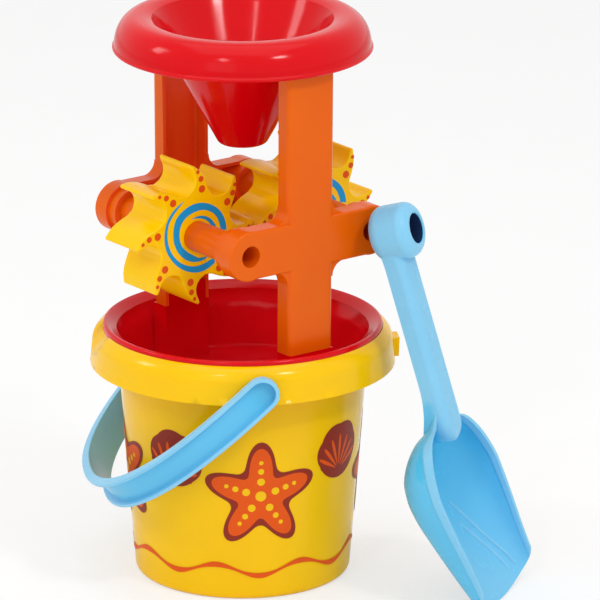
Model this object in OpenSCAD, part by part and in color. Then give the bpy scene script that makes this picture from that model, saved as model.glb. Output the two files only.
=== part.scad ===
// Sand wheel toy: a bucket with a bail handle, a tray set in its mouth, and a
// mill of two frames, two paddle wheels and a funnel that stands on the tray.
// A scoop leans against the mill with its tip on the ground.
// Origin: centre of the bucket's base, on the ground. +Z up, Y along the
// wheels' axles with the front frame at -Y, X along the frames' arms.

/* [Bucket] */
// Height of the bucket at the top of its rolled flange
bucket_h = 151.4; // [140:0.2:165]
// Thickness of the bucket's wall
bucket_wall = 2; // [1.6:0.1:2.4]
// Outer radius of the skirt at its lower edge
skirt_r = 90; // [80:0.5:100]
// How far the wall's top lies inside the skirt's edge
wall_inset = 16.6; // [16:0.1:17]
// How much narrower the wall is at the ground than at its top
wall_draft = 9.8; // [7:0.2:13]
// Radius of the rounding between wall and base
foot_round = 4.5; // [2:0.5:5]
// Height of the flange, from the skirt's lower edge to the top
skirt_h = 22.7; // [21.5:0.1:23.5]
// How much narrower the skirt is where its shoulder begins
skirt_draft = 1.2; // [0.6:0.1:1.6]
// Radius of the flange's rounded shoulder
shoulder_r = 10.8; // [10:0.1:11.4]
// Depth of the seat that the tray's lip lies in
seat_depth = 2.8; // [2.4:0.1:3.2]
// How far the ledge's inner edge lies inside the skirt's edge
ledge_inset = 12.8; // [12.2:0.1:13]
// Height of the flare between wall and ledge
flare_h = 9.6; // [8.5:0.1:10.5]
// Depth of the hollow under the base
base_recess = 1.2; // [0.8:0.1:2]
// Width of the ring that the bucket stands on
foot_ring_w = 5; // [4:0.5:8]
// Radius of the flat pad in the middle of the base
foot_pad_r = 9; // [6:0.5:12]
// Direction of the pouring spout, seen from above
spout_angle = 150; // [145:1:155]
// Radius of the spout's channel
spout_r = 38; // [30:1:44]
// Slope of the channel, down towards the skirt
spout_slope = 45; // [35:1:50]
// Depth of the channel below the top of the flange, where it leaves the skirt
spout_depth = 16.6; // [13:0.2:18]
// Width of the thumb tab opposite the spout
tab_w = 12; // [8:1:16]
// How far the thumb tab stands out at its top
tab_reach = 3.8; // [3:0.1:5]
// How far the thumb tab stands out at its lower edge
tab_foot_reach = 2.2; // [1.5:0.1:3]
// Height of the thumb tab
tab_h = 11.4; // [9:0.2:12]

/* [Bail handle] */
// How far the bail's pivots lie below the top of the bucket
pivot_drop = 14.4; // [13.4:0.2:15.4]
// Width of the strap
strap_w = 20; // [17:0.5:22]
// Thickness of the strap, rims included
strap_t = 5.6; // [5:0.1:7]
// Thickness of the strap's floor
strap_floor = 1.6; // [1.2:0.1:2]
// Width of the raised rim on each edge of the strap
strap_rim = 2.3; // [1.8:0.1:3]
// Gap between the skirt and the strap at the pivots
strap_gap = 1; // [0.4:0.05:1.4]
// How much further the bail reaches out from its pivots than the skirt's edge
bail_past = 30.5; // [27:0.5:34]
// How far the bail hangs below level
bail_drop = 43; // [38:0.2:44]
// Radius of the pivot pegs
peg_r = 4; // [3.4:0.1:4.6]
// Radial clearance of the pegs in the skirt's holes
peg_fit = 0.08; // [0.05:0.01:0.1]
// Radius of the snap head on each peg
peg_head_r = 5.2; // [4.9:0.1:5.6]
// Thickness of the snap head
peg_head_t = 2; // [1.5:0.1:2.5]

/* [Tray] */
// How far the outer edge of the tray's lip lies inside the skirt's edge
lip_inset = 7.6; // [7.5:0.05:7.8]
// Height of the lip's outer edge above the bucket's ledge
lip_h = 4.4; // [4:0.1:5]
// Thickness of the tray's wall
tray_wall = 1.7; // [1.4:0.1:1.9]
// How far the tub's mouth lies inside the bucket's ledge
mouth_inset = 2.8; // [2.6:0.1:3.2]
// How much narrower the tub's floor is than the top of the bucket's wall
tub_inset = 5.2; // [4.9:0.1:7]
// Depth of the tub below the bucket's ledge
tub_depth = 34.6; // [32:0.2:37]
// Radius of the rounding between the tub's wall and floor
tub_round = 3; // [2:0.5:4]
// Radius of the sieve holes
sieve_hole_r = 1.9; // [1.5:0.1:2]
// Distance from one ring of sieve holes to the next
sieve_step = 9; // [8:0.5:10]
// Number of rings of sieve holes
sieve_rings = 4; // [3:1:5]
// Height of the tongue that reaches up into each post
tongue_h = 11.5; // [8:0.5:14]

/* [Frames] */
// How far the frames' outer faces lie inside the tub's floor radius
frame_inset = 1.3; // [1:0.1:1.6]
// How far the foot of the posts lies below the top of the bucket
post_foot_drop = 1.4; // [0.4:0.2:2.4]
// How far the top of the posts lies below the top of the funnel
post_top_drop = 8; // [7:0.2:9]
// Width of a post at its foot
post_foot_w = 31.4; // [29:0.2:32]
// Width of a post at its top
post_top_w = 34; // [32:0.2:34.4]
// Depth of a post at its foot
post_foot_d = 12.2; // [11.5:0.1:12.6]
// Depth of a post at its top
post_top_d = 9.6; // [9:0.1:10]
// Radius of the posts' rounded edges
post_round = 3.4; // [2.6:0.1:4]
// Thickness of the frames' walls
frame_wall = 2.2; // [1.8:0.1:2.6]
// Radius of the bosses at the ends of the arms
boss_r = 15; // [14.2:0.1:15.6]
// Height of the arm between the bosses
arm_h = 28.8; // [26:0.2:29.4]
// Depth of the arm
arm_d = 11.5; // [10.5:0.1:12]
// Radius of the rounded edge on the arm's outer face
arm_round = 1.6; // [1:0.1:2]
// Radius of the fillets between arm and post
web_r = 8.5; // [7:0.5:10]
// Radius of the collar behind each boss
collar_r = 13; // [12:0.1:13.4]
// Depth of the collar from the frame's outer face
collar_d = 18; // [16:0.2:20]
// Outer radius of the tubes that reach in to the wheels
tube_r = 9; // [8.5:0.1:9.5]
// Distance from the middle of the toy to the end of each tube
tube_end_y = 14; // [13.5:0.1:14.5]
// Radius of the bore through boss, collar and tube
tube_bore_r = 6.4; // [6:0.1:6.6]

/* [Wheels and axles] */
// Radius of the wheels at the tips of their rays
tip_r = 42.4; // [38:0.2:46]
// Depth of the valleys between the rays
valley_depth = 14.9; // [13:0.1:16]
// Height of the wheels' lowest tips above the bucket
wheel_rise = 22; // [20:0.2:26]
// Distance from a wheel's tips to the middle of the toy
wheel_gap = 1.7; // [1.4:0.1:4]
// Number of rays
rays = 8; // [6:1:9]
// Share of the pitch by which a valley lies ahead of its ray's tip
valley_lead_share = 0.345; // [0.3:0.005:0.4]
// Flat width of a ray's tip
tip_w = 1.5; // [1:0.1:2]
// Length of solid material at a ray's tip
tip_solid = 4.1; // [3.5:0.1:5]
// Thickness of the wheels' walls
wheel_wall = 1.6; // [1.3:0.1:1.8]
// Thickness of the wheels' front plate
wheel_plate = 2.2; // [1.8:0.1:2.8]
// Axial play between the hubs and the tubes, at each end
hub_play = 0.3; // [0.2:0.05:0.5]
// How far a wheel's open rim reaches past its hub at the rear
rim_overhang = 4.6; // [3:0.1:5]
// Outer radius of the hubs
hub_r = 9.4; // [8.8:0.1:10]
// Radial clearance of an axle in its hub
hub_fit = 0.08; // [0.05:0.01:0.1]
// Radial clearance of an axle in the tubes' bores
axle_fit = 0.04; // [0.02:0.01:0.05]
// Distance that an axle's ends lie inside the frames' outer faces
axle_inset = 16.9; // [12:0.1:20]
// Turn of the right wheel against the left one
right_wheel_turn = 3; // [0:1:20]

/* [Funnel] */
// Height of the funnel's lower end above the wheels' tips
funnel_rise = 3.4; // [2:0.2:8]
// Height of the funnel
funnel_h = 77.4; // [70:0.2:90]
// Outer radius of the funnel's cone at its lower end
funnel_foot_r = 15.6; // [14:0.2:17]
// How far the top of the cone lies below the top of the funnel
cone_drop = 7.5; // [6.5:0.1:9]
// Radius of the rounding at the funnel's lower end
funnel_foot_round = 4; // [3:0.2:5]
// Radius of the outlet
outlet_r = 7; // [5:0.5:9]
// Thickness of the funnel's wall
funnel_wall = 2; // [1.6:0.1:2.2]
// How far the funnel's flange stands out past the frames' outer faces
brim_past = 8.3; // [8:0.1:9]
// How far the bead at the flange's lower edge stands out
bead_out = 1; // [0.6:0.1:1.4]
// Height of that bead
bead_h = 2.6; // [2:0.1:3]
// Height of the flange from its lower edge to its top
brim_h = 20.2; // [19:0.2:23]
// How far the flange's crest lies inside its outer face
crest_inset = 13.2; // [11.5:0.1:14.5]
// How far the flange's inner edge, where the bowl begins, lies inside the crest
mouth_in = 10; // [8.5:0.1:11]
// Depth of the sockets that hold the posts
socket_depth = 9; // [7:0.5:11]
// Wall of those sockets
socket_wall = 1.6; // [1.2:0.1:1.8]
// Clearance between a post and its socket
socket_fit = 0.15; // [0.1:0.05:0.25]

/* [Scoop] */
// How far the scoop's head lies above the axles
head_rise = 3.2; // [0:0.2:5]
// How far the scoop's head lies further out than the right axle
head_shift = 3.7; // [1:0.1:6]
// Gap between the head and the front frame
head_gap = 0.65; // [0.6:0.05:2]
// Turn of the scoop about the vertical
scoop_turn = 30; // [27:0.5:32]
// Lean of the scoop to its own side
scoop_tilt = 1.4; // [0:0.2:2.6]
// Height at which the scoop's middle line ends above the ground
tip_lift = 0.6; // [0.6:0.1:2]
// Outer radius of the head
head_r = 16.5; // [15:0.1:16.5]
// Length of the head
head_l = 26; // [23:0.5:26]
// Radius of the head's rounded edges
head_round = 5; // [3.5:0.5:6]
// Radius of the hole through the head
head_hole_r = 8.8; // [7.5:0.1:9.5]
// Width of the handle
grip_w = 22.2; // [19:0.2:24]
// Depth of the handle
grip_d = 12; // [10:0.5:13]
// Height of the handle's front face above the head's middle
grip_front = 3.4; // [1.5:0.1:4.5]
// Radius of the handle's rounded edges
grip_round = 5; // [3:0.5:5.5]
// How far the handle's nose reaches over the back of the blade
nose_reach = 13; // [10:0.5:18]
// Thickness of the scoop's walls
scoop_wall = 1.8; // [1.4:0.1:2.2]
// Distance from the head's middle to the back of the blade
blade_start = 118; // [112:1:122]
// Distance from the head's middle to the blade's tip
blade_end = 228; // [222:0.5:236]
// Width of the blade where it is widest
blade_w = 93.8; // [86:0.2:98]
// Depth of the blade where it is deepest
blade_d = 30; // [24:0.5:34]
// How far the back of the blade's rim lies behind the head's middle
blade_set = 3.6; // [2:0.1:5]
// How far the rim comes forward from there to the tip
rim_rise = 14; // [8:0.5:16]
// How much shorter the blade's floor is at its sides
tip_bow = 5.2; // [3:0.2:9]
// How much shorter the blade's rims are than its floor
rim_cut = 10; // [6:0.5:12]

/* [Hidden] */
$fn = 72;
// Length by which a cutting tool runs past what it cuts
over = 2;

// Colours of the plastics
yellow = "#FCC800";
wheel_yellow = "#FFD000";
orange = "#F07810";
red = "#D8001C";
sky = "#8ACDF0";
bail_blue = "#72C4EE";

// Points on an arc from angle a0 to angle a1, in steps parts
function arc(cx, cy, r, a0, a1, steps = 8) =
    [for (i = [0:steps]) let (a = a0 + (a1 - a0) * i / steps)
        [cx + r * cos(a), cy + r * sin(a)]];

// Bucket: heights and radii that follow from the sizes above
body_top_r = skirt_r - wall_inset;
body_foot_r = body_top_r - wall_draft;
ledge_r = skirt_r - ledge_inset;
lip_r = skirt_r - lip_inset;
skirt_z = bucket_h - skirt_h;
seat_z = bucket_h - seat_depth;
seat_gap = 0.3;
seat_r = lip_r + seat_gap;
floor_top = base_recess + bucket_wall;
shoulder_cx = skirt_r - skirt_draft - shoulder_r;
shoulder_cz = bucket_h - shoulder_r;
flare_z = seat_z - flare_h;
shoulder_end = acos((seat_r - shoulder_cx) / shoulder_r);
shoulder_in = asin((seat_z - bucket_wall - shoulder_cz) / (shoulder_r - bucket_wall));

// Outer radius of the bucket's wall at height z
function body_r(z) = body_foot_r + (body_top_r - body_foot_r) * z / skirt_z;

// The flange's outer face, from the skirt's lower edge to the seat
flange_face = concat(
    [[skirt_r, skirt_z]],
    arc(shoulder_cx, shoulder_cz, shoulder_r, 0, shoulder_end, 12)
);

module bucket_section() {
    ring_r = body_foot_r - foot_round;
    wall_in = body_foot_r - bucket_wall;
    polygon(concat(
        [[ring_r - foot_ring_w, 0]],
        arc(body_foot_r - foot_round, foot_round, foot_round, -90, 0),
        [[body_r(flare_z - bucket_wall / 2), flare_z - bucket_wall / 2]],
        [[ledge_r + bucket_wall, seat_z - bucket_wall]],
        arc(shoulder_cx, shoulder_cz, shoulder_r - bucket_wall, shoulder_in, 0, 6),
        [[skirt_r - bucket_wall, skirt_z]],
        flange_face,
        [[seat_r, seat_z], [ledge_r, seat_z]],
        [[body_r(flare_z) - bucket_wall, flare_z]],
        arc(wall_in - foot_round, floor_top + foot_round, foot_round, 0, -90),
        [[0, floor_top], [0, 0], [foot_pad_r, 0], [foot_pad_r + base_recess, base_recess]],
        [[ring_r - foot_ring_w - base_recess, base_recess]]
    ));
}

// Everything under the flange's outer face, from the ledge outwards
module flange_envelope() {
    rotate_extrude()
        polygon(concat(
            [[ledge_r, skirt_z]],
            flange_face,
            [[seat_r, seat_z], [ledge_r, seat_z]]
        ));
}

// The spout's sloping channel, outside the radius start
module spout_channel(r, start) {
    difference() {
        rotate([0, 0, spout_angle])
            translate([skirt_r, 0, bucket_h - spout_depth])
                rotate([0, 90 + spout_slope, 0])
                    translate([-spout_r, 0, -spout_r])
                        cylinder(r = r, h = 2 * spout_r);
        cylinder(r = start, h = bucket_h + over);
    }
}

module thumb_tab() {
    root_r = skirt_r - bucket_wall / 2;
    rotate([0, 0, spout_angle + 180])
        translate([0, tab_w / 2, 0])
            rotate([90, 0, 0])
                linear_extrude(tab_w)
                    polygon([
                        [root_r, skirt_z],
                        [skirt_r + tab_foot_reach, skirt_z],
                        [skirt_r - skirt_draft + tab_reach, skirt_z + tab_h],
                        [root_r - skirt_draft, skirt_z + tab_h]
                    ]);
}

module bucket() {
    color(yellow) {
        difference() {
            rotate_extrude() bucket_section();
            spout_channel(spout_r, ledge_r + bucket_wall);
            // Holes for the bail's pegs
            for (side = [90, -90])
                rotate([0, 0, spout_angle + side])
                    translate([shoulder_cx + bucket_wall, 0, pivot_z])
                        rotate([0, 90, 0])
                            cylinder(r = peg_r + peg_fit, h = skirt_r - shoulder_cx);
        }
        // The channel's own wall, closed at its inner end
        intersection() {
            flange_envelope();
            difference() {
                spout_channel(spout_r + bucket_wall, ledge_r);
                spout_channel(spout_r, ledge_r + bucket_wall);
            }
        }
        thumb_tab();
    }
}

// Bail: half a rounded arch in its own plane, X along the pivots, Y outwards
pivot_z = bucket_h - pivot_drop;
bail_reach = skirt_r + bail_past;
strap_in = skirt_r + strap_gap;
strap_out = strap_in + strap_t;
strap_end_r = strap_w / 2;

// How full the arch is: 2 is an ellipse, more is fuller in its corners
arch_power = 2.3;

// Outline of the bail at a distance inset inside its outer face
function bail_curve(inset) = concat(
    [[strap_out - inset, -strap_end_r - over]],
    [for (p = arc(0, 0, 1, 0, 180, 48)) [
        (strap_out - inset) * sign(p[0]) * pow(abs(p[0]), 2 / arch_power),
        (bail_reach - inset) * pow(abs(p[1]), 2 / arch_power)
    ]],
    [[inset - strap_out, -strap_end_r - over]]
);

// Band between two of those outlines, as wide as the strap
module bail_band(outer, inner) {
    translate([0, 0, -strap_end_r])
        linear_extrude(strap_w)
            difference() {
                polygon(bail_curve(outer));
                polygon(bail_curve(inner));
            }
}

// Strap seen along the pivots: parallel sides and round ends
module bail_side(r) {
    rotate([90, 0, 90])
        translate([0, 0, -strap_out - over])
            linear_extrude(2 * (strap_out + over)) {
                circle(r = r);
                translate([0, -r])
                    square([bail_reach + over, 2 * r]);
            }
}

module bail_peg() {
    head_out = sqrt(pow(shoulder_cx + shoulder_r - bucket_wall, 2) - pow(peg_head_r, 2)) - strap_gap;
    translate([head_out - peg_head_t, 0, 0])
        rotate([0, 90, 0]) {
            cylinder(r = peg_r, h = strap_in - head_out + peg_head_t + strap_floor / 2);
            cylinder(r = peg_head_r, h = peg_head_t);
        }
}

module bail_handle() {
    color(bail_blue)
        translate([0, 0, pivot_z])
            rotate([0, 0, spout_angle - 90])
                rotate([-bail_drop, 0, 0]) {
                    difference() {
                        intersection() {
                            bail_band(0, strap_t);
                            bail_side(strap_end_r);
                        }
                        intersection() {
                            bail_band(-over, strap_t - strap_floor);
                            bail_side(strap_end_r - strap_rim);
                        }
                    }
                    bail_peg();
                    mirror([1, 0, 0]) bail_peg();
                }
}

// Tray: heights and radii that follow from the bucket
tray_rest = 0.2;
tray_z = seat_z + tray_rest;
tub_mouth_r = ledge_r - mouth_inset;
tub_floor_r = body_top_r - tub_inset;
tub_floor_z = seat_z - tub_depth;
tub_mouth_z = tray_z + tray_wall / 4;
tub_waist_r = body_r(flare_z) - bucket_wall - tray_wall - seat_gap;
// Angle through which the lip's edge is rounded
lip_turn = 100;

// Frames, wheels and funnel stand on one another, each in its place above the last
frame_y = tub_floor_r - frame_inset;
post_foot_z = bucket_h - post_foot_drop;
axle_z = bucket_h + wheel_rise + tip_r;
axle_x = wheel_gap + tip_r;
funnel_foot_z = axle_z + tip_r + funnel_rise;
funnel_top_z = funnel_foot_z + funnel_h;
post_top_z = funnel_top_z - post_top_drop;

module tray_section() {
    lip_round = tray_wall;
    lip_top = seat_z + lip_h;
    polygon(concat(
        [[tub_mouth_r + tray_wall, tray_z], [lip_r, tray_z]],
        arc(lip_r - lip_round, lip_top - lip_round, lip_round, 0, lip_turn, 6),
        [[tub_mouth_r, tub_mouth_z]],
        [[tub_waist_r, flare_z]],
        arc(tub_floor_r - tub_round, tub_floor_z + tub_round, tub_round, 0, -90, 6),
        [[0, tub_floor_z], [0, tub_floor_z - tray_wall]],
        arc(tub_floor_r - tub_round, tub_floor_z + tub_round, tub_round + tray_wall, -90, 0, 6),
        [[tub_waist_r + tray_wall, flare_z]]
    ));
}

// Footing of one post, with the tongue that fills the post's foot
module footing() {
    translate([-post_foot_w / 2, frame_y - post_foot_d, tub_floor_z - tray_wall])
        cube([post_foot_w, post_foot_d, post_foot_z - tub_floor_z + tray_wall]);
    tongue_w = post_foot_w - 2 * (frame_wall + socket_fit);
    translate([-tongue_w / 2, frame_y - post_foot_d, post_foot_z])
        cube([tongue_w, post_foot_d - frame_wall - post_round / 2, tongue_h]);
}

// Hollow under the footing, open downwards
module footing_hollow() {
    translate([
        tray_wall - post_foot_w / 2,
        frame_y - post_foot_d + tray_wall,
        tub_floor_z - tray_wall - over
    ])
        cube([
            post_foot_w - 2 * tray_wall,
            post_foot_d - 2 * tray_wall,
            post_foot_z - tub_floor_z + over
        ]);
}

// True where a sieve hole at x, y is clear of both footings
function clear_of_footings(x, y) =
    abs(x) > post_foot_w / 2 + 2 * sieve_hole_r
    || abs(y) < frame_y - post_foot_d - 2 * sieve_hole_r;

module sieve_holes() {
    for (ring = [0:sieve_rings], i = [0:max(0, 6 * ring - 1)]) {
        a = ring == 0 ? 0 : 60 * i / ring;
        x = ring * sieve_step * cos(a);
        y = ring * sieve_step * sin(a);
        if (clear_of_footings(x, y))
            translate([x, y, tub_floor_z - tray_wall - over])
                cylinder(r = sieve_hole_r, h = tray_wall + 2 * over, $fn = 24);
    }
}

module tray() {
    color(red)
        difference() {
            union() {
                rotate_extrude() tray_section();
                footing();
                rotate([0, 0, 180]) footing();
            }
            sieve_holes();
            footing_hollow();
            rotate([0, 0, 180]) footing_hollow();
        }
}

// Frame: built with its outer face at y = 0 and its open side towards +y
module post_section(w, d, round_r) {
    polygon(concat(
        [[-w / 2, d]],
        arc(round_r - w / 2, round_r, round_r, 180, 270, 5),
        arc(w / 2 - round_r, round_r, round_r, 270, 360, 5),
        [[w / 2, d]]
    ));
}

// Post with its sides moved in by inset, or its hollow where inset is a wall
module post_form(inset, past) {
    slice = frame_wall / 10;
    hull() {
        translate([0, inset, post_foot_z - past])
            linear_extrude(slice)
                post_section(post_foot_w - 2 * inset, post_foot_d - inset + past, post_round - inset / 2);
        translate([0, inset, post_top_z - slice + past])
            linear_extrude(slice)
                post_section(post_top_w - 2 * inset, post_top_d - inset + past, post_round - inset / 2);
    }
}

module boss() {
    rotate([-90, 0, 0])
        rotate_extrude()
            polygon(concat(
                [[0, 0]],
                arc(boss_r - arm_round, arm_round, arm_round, -90, 0, 5),
                [[boss_r, arm_d], [0, arm_d]]
            ));
}

// Bar between the bosses, with the same rounded edges
module arm_bar() {
    rotate([90, 0, 90])
        translate([0, 0, -axle_x])
            linear_extrude(2 * axle_x)
                polygon(concat(
                    [[arm_d, -arm_h / 2]],
                    arc(arm_round, arm_round - arm_h / 2, arm_round, 270, 180, 5),
                    arc(arm_round, arm_h / 2 - arm_round, arm_round, 180, 90, 5),
                    [[arm_d, arm_h / 2]]
                ));
}

// Fillet between arm and post, for the corner towards +x, +z
module web() {
    corner_x = (post_foot_w + post_top_w) / 4;
    translate([corner_x - frame_wall, arm_d, arm_h / 2 - frame_wall])
        rotate([90, 0, 0])
            linear_extrude(arm_d - arm_round)
                difference() {
                    square(web_r + frame_wall);
                    translate([web_r + frame_wall, web_r + frame_wall]) circle(r = web_r);
                }
}

module arm_hollow() {
    translate([-axle_x, frame_wall, frame_wall - arm_h / 2])
        cube([2 * axle_x, arm_d, arm_h - 2 * frame_wall]);
}

module frame() {
    difference() {
        union() {
            difference() {
                union() {
                    post_form(0, 0);
                    translate([0, 0, axle_z]) {
                        arm_bar();
                        for (side = [-1, 1])
                            translate([side * axle_x, 0, 0]) boss();
                        for (flip_x = [0, 1], flip_z = [0, 1])
                            mirror([flip_x, 0, 0]) mirror([0, 0, flip_z]) web();
                    }
                }
                post_form(frame_wall, over);
                translate([0, 0, axle_z]) arm_hollow();
            }
            for (side = [-1, 1])
                translate([side * axle_x, frame_wall / 2, axle_z])
                    rotate([-90, 0, 0]) {
                        cylinder(r = collar_r, h = collar_d - frame_wall / 2);
                        cylinder(r = tube_r, h = frame_y - tube_end_y - frame_wall / 2);
                    }
        }
        for (side = [-1, 1])
            translate([side * axle_x, -over, axle_z])
                rotate([-90, 0, 0])
                    cylinder(r = tube_bore_r, h = frame_y + over);
    }
}

module frame_front() {
    color(orange) translate([0, -frame_y, 0]) frame();
}

module frame_rear() {
    color(orange) rotate([0, 0, 180]) translate([0, -frame_y, 0]) frame();
}

// Axles: plain rods held in the tubes
axle_r = tube_bore_r - axle_fit;

module axle(side) {
    half = frame_y - axle_inset;
    translate([side * axle_x, -half, axle_z])
        rotate([-90, 0, 0])
            cylinder(r = axle_r, h = 2 * half);
}

module axle_left() {
    color(orange) axle(-1);
}

module axle_right() {
    color(orange) axle(1);
}

// Wheels: eight rays whose tips bend round, all on one outline
pitch = 360 / rays;
valley_r = tip_r - valley_depth;
// How sharply a ray's back and its hooked side bend
back_power = 1.5;
hook_power = 1.8;

// One ray in polar form: out along its full back, then in along its hook
function ray_points(root, tip, flat) = concat(
    [for (i = [0:7]) let (t = i / 8)
        [root + (tip - root) * t, (valley_lead_share - 1) * pitch * (1 - pow(t, back_power)) - flat]],
    [for (i = [8:-1:1]) let (t = i / 8)
        [root + (tip - root) * t, valley_lead_share * pitch * pow(1 - t, hook_power) + flat]]
);

function wheel_outline(root, tip) =
    let (flat = asin(tip_w / 2 / tip_r))
    [for (k = [0:rays - 1], p = ray_points(root, tip, flat))
        [p[0] * cos(p[1] + k * pitch), p[0] * sin(p[1] + k * pitch)]];

// Wheel about its axle, front plate at -y
module wheel() {
    hub_half = tube_end_y - hub_play;
    rotate([90, 0, 0])
        difference() {
            union() {
                difference() {
                    translate([0, 0, -hub_half - rim_overhang])
                        linear_extrude(2 * hub_half + rim_overhang)
                            polygon(wheel_outline(valley_r, tip_r));
                    translate([0, 0, -hub_half - rim_overhang - over])
                        linear_extrude(2 * hub_half + rim_overhang + over - wheel_plate)
                            polygon(wheel_outline(valley_r - wheel_wall, tip_r - tip_solid));
                }
                translate([0, 0, -hub_half])
                    cylinder(r = hub_r, h = 2 * hub_half);
            }
            translate([0, 0, -hub_half - over])
                cylinder(r = axle_r + hub_fit, h = 2 * (hub_half + over));
        }
}

module wheel_left() {
    color(wheel_yellow) translate([-axle_x, 0, axle_z]) wheel();
}

module wheel_right() {
    color(wheel_yellow)
        translate([axle_x, 0, axle_z])
            rotate([0, -right_wheel_turn, 0]) wheel();
}

// Funnel: sizes that follow from the frames that carry it
brim_r = frame_y + brim_past;
bead_r = brim_r + bead_out;
crest_r = brim_r - crest_inset;
mouth_r = crest_r - mouth_in;
brim_z = funnel_top_z - brim_h;
cone_top_z = funnel_top_z - cone_drop;
cone_angle = atan((mouth_r - funnel_foot_r) / (cone_top_z - funnel_foot_z));
mouth_shares = [[0.12, 0.45], [0.35, 0.8], [0.65, 0.96]];

// Outer face of the flange, from its lower edge up over the crest to the mouth
function brim_face(inset) = concat(
    arc(0, 0, 1, 0, 90, 12)
        * [[brim_r - crest_r - inset, 0], [0, brim_h - bead_h - inset]]
);

module funnel_section() {
    knee = funnel_foot_round;
    polygon(concat(
        // Lower edge with its bead
        [[brim_r - funnel_wall, brim_z], [bead_r - bead_h / 4, brim_z]],
        [[bead_r, brim_z + bead_h / 3], [bead_r, brim_z + bead_h * 2 / 3]],
        // Over the crest
        [for (p = brim_face(0)) [crest_r + p[0], brim_z + bead_h + p[1]]],
        // Down into the bowl
        [for (s = mouth_shares) [
            crest_r + (mouth_r - crest_r) * (1 - pow(1 - s[0], 2)),
            funnel_top_z - (funnel_top_z - cone_top_z) * (1 - sqrt(1 - pow(s[0], 2)))
        ]],
        [[mouth_r - funnel_wall, cone_top_z]],
        [[funnel_foot_r - funnel_wall, funnel_foot_z + funnel_wall]],
        [[outlet_r, funnel_foot_z + funnel_wall], [outlet_r, funnel_foot_z]],
        arc(funnel_foot_r - knee, funnel_foot_z + knee, knee, -90, -cone_angle, 6),
        // Outside of the cone and the underside of the flange
        [[mouth_r, cone_top_z]],
        [for (i = [12:-1:0]) let (p = brim_face(funnel_wall)[i])
            [crest_r + p[0], brim_z + bead_h + p[1]]]
    ));
}

// Block round a post's top, kept under the flange's outer face
module socket() {
    w = post_top_w + 2 * (socket_fit + socket_wall);
    d = post_top_d + 2 * (socket_fit + socket_wall);
    intersection() {
        translate([-w / 2, frame_y - post_top_d - socket_fit - socket_wall, post_top_z - socket_depth])
            cube([w, d, socket_depth + funnel_top_z - post_top_z]);
        rotate_extrude()
            polygon(concat(
                [[0, brim_z]],
                [[brim_r - funnel_wall / 2, brim_z]],
                [for (p = brim_face(funnel_wall / 2)) [crest_r + p[0], brim_z + bead_h + p[1]]],
                [[0, funnel_top_z - funnel_wall / 2]]
            ));
    }
}

module socket_hollow() {
    w = post_top_w + 2 * socket_fit;
    translate([-w / 2, frame_y - post_top_d - socket_fit, post_top_z - socket_depth - over])
        cube([w, post_top_d + 2 * socket_fit, socket_depth + over]);
}

module funnel() {
    color(red) {
        difference() {
            union() {
                rotate_extrude() funnel_section();
                socket();
                rotate([0, 0, 180]) socket();
            }
            socket_hollow();
            rotate([0, 0, 180]) socket_hollow();
        }
    }
}

// Scoop: leans back by the angle at which its tip meets the ground, with its
// head a small gap away from the front frame
scoop_head_z = axle_z + head_rise;
scoop_lean = acos(min(1, (scoop_head_z - tip_lift) / (blade_end * cos(scoop_tilt))));
head_facing = cos(scoop_lean) * cos(scoop_turn);
head_stand = head_gap + head_round + head_facing * (head_l / 2 - head_round)
    + sqrt(1 - pow(head_facing, 2)) * (head_r - head_round);
grip_end = blade_start + nose_reach;

// Built hanging down from its head, open side towards -y
module scoop_head() {
    rotate([-90, 0, 0])
        rotate_extrude()
            polygon(concat(
                [[head_hole_r, -head_l / 2]],
                arc(head_r - head_round, head_round - head_l / 2, head_round, -90, 0),
                arc(head_r - head_round, head_l / 2 - head_round, head_round, 0, 90),
                [[head_hole_r, head_l / 2]]
            ));
}

// The handle's outer form, or its hollow where inset is a wall
module grip_form(inset) {
    w = grip_w - 2 * inset;
    top = head_r / 2 + inset;
    intersection() {
        translate([0, inset - grip_front, -grip_end])
            linear_extrude(grip_end - top)
                post_section(w, grip_d, grip_round - inset / 2);
        // Front view, with the round nose
        translate([0, grip_d + over, 0])
            rotate([90, 0, 0])
                linear_extrude(2 * (grip_d + over)) {
                    translate([-w / 2, -grip_end + grip_w / 2])
                        square([w, grip_end - grip_w / 2 - top]);
                    translate([0, -grip_end + grip_w / 2])
                        circle(r = w / 2);
                }
    }
}

module scoop_grip() {
    difference() {
        grip_form(0);
        grip_form(scoop_wall);
        translate([-grip_w / 2, grip_d - grip_front, -grip_end - over])
            cube([grip_w, grip_d, grip_end + over]);
    }
}

// Blade: place along it, then share of its width and share of its depth there
blade_shares = [
    [0, 0.38, 0.2], [0.02, 0.52, 0.33], [0.05, 0.645, 0.5], [0.1, 0.765, 0.68],
    [0.16, 0.865, 0.84], [0.24, 0.95, 0.97], [0.34, 1, 1], [0.44, 0.985, 0.97],
    [0.56, 0.955, 0.87], [0.68, 0.913, 0.76], [0.8, 0.885, 0.62], [0.9, 0.872, 0.48],
    [1, 0.866, 0.34]
];
rows = len(blade_shares);
cols = 17;
// How square the blade's section is: 2 is an ellipse
belly_power = 3.2;

function blade_share(s, k) = lookup(
    (s - blade_start) / (blade_end - blade_start),
    [for (p = blade_shares) [p[0], p[k]]]
);

// Point of the blade's bowl: row from back to tip, col across; grow is the wall
function blade_point(row, col, grow) =
    let (
        v = 2 * col / (cols - 1) - 1,
        e = sin(90 * v),
        belly = pow(max(0, 1 - pow(abs(e), belly_power)), 1 / belly_power),
        start = blade_start + scoop_wall - grow,
        end = blade_end - tip_bow * e * e - rim_cut * (1 - belly),
        s = start + blade_shares[row][0] * (end - start),
        half = blade_w / 2 * blade_share(s, 1) - scoop_wall + grow,
        deep = (blade_d - scoop_wall) * blade_share(s, 2) + grow,
        rim_y = blade_set - rim_rise * (s - blade_start) / (blade_end - blade_start)
    )
    [half * e, rim_y + deep * belly, -s];

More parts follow.
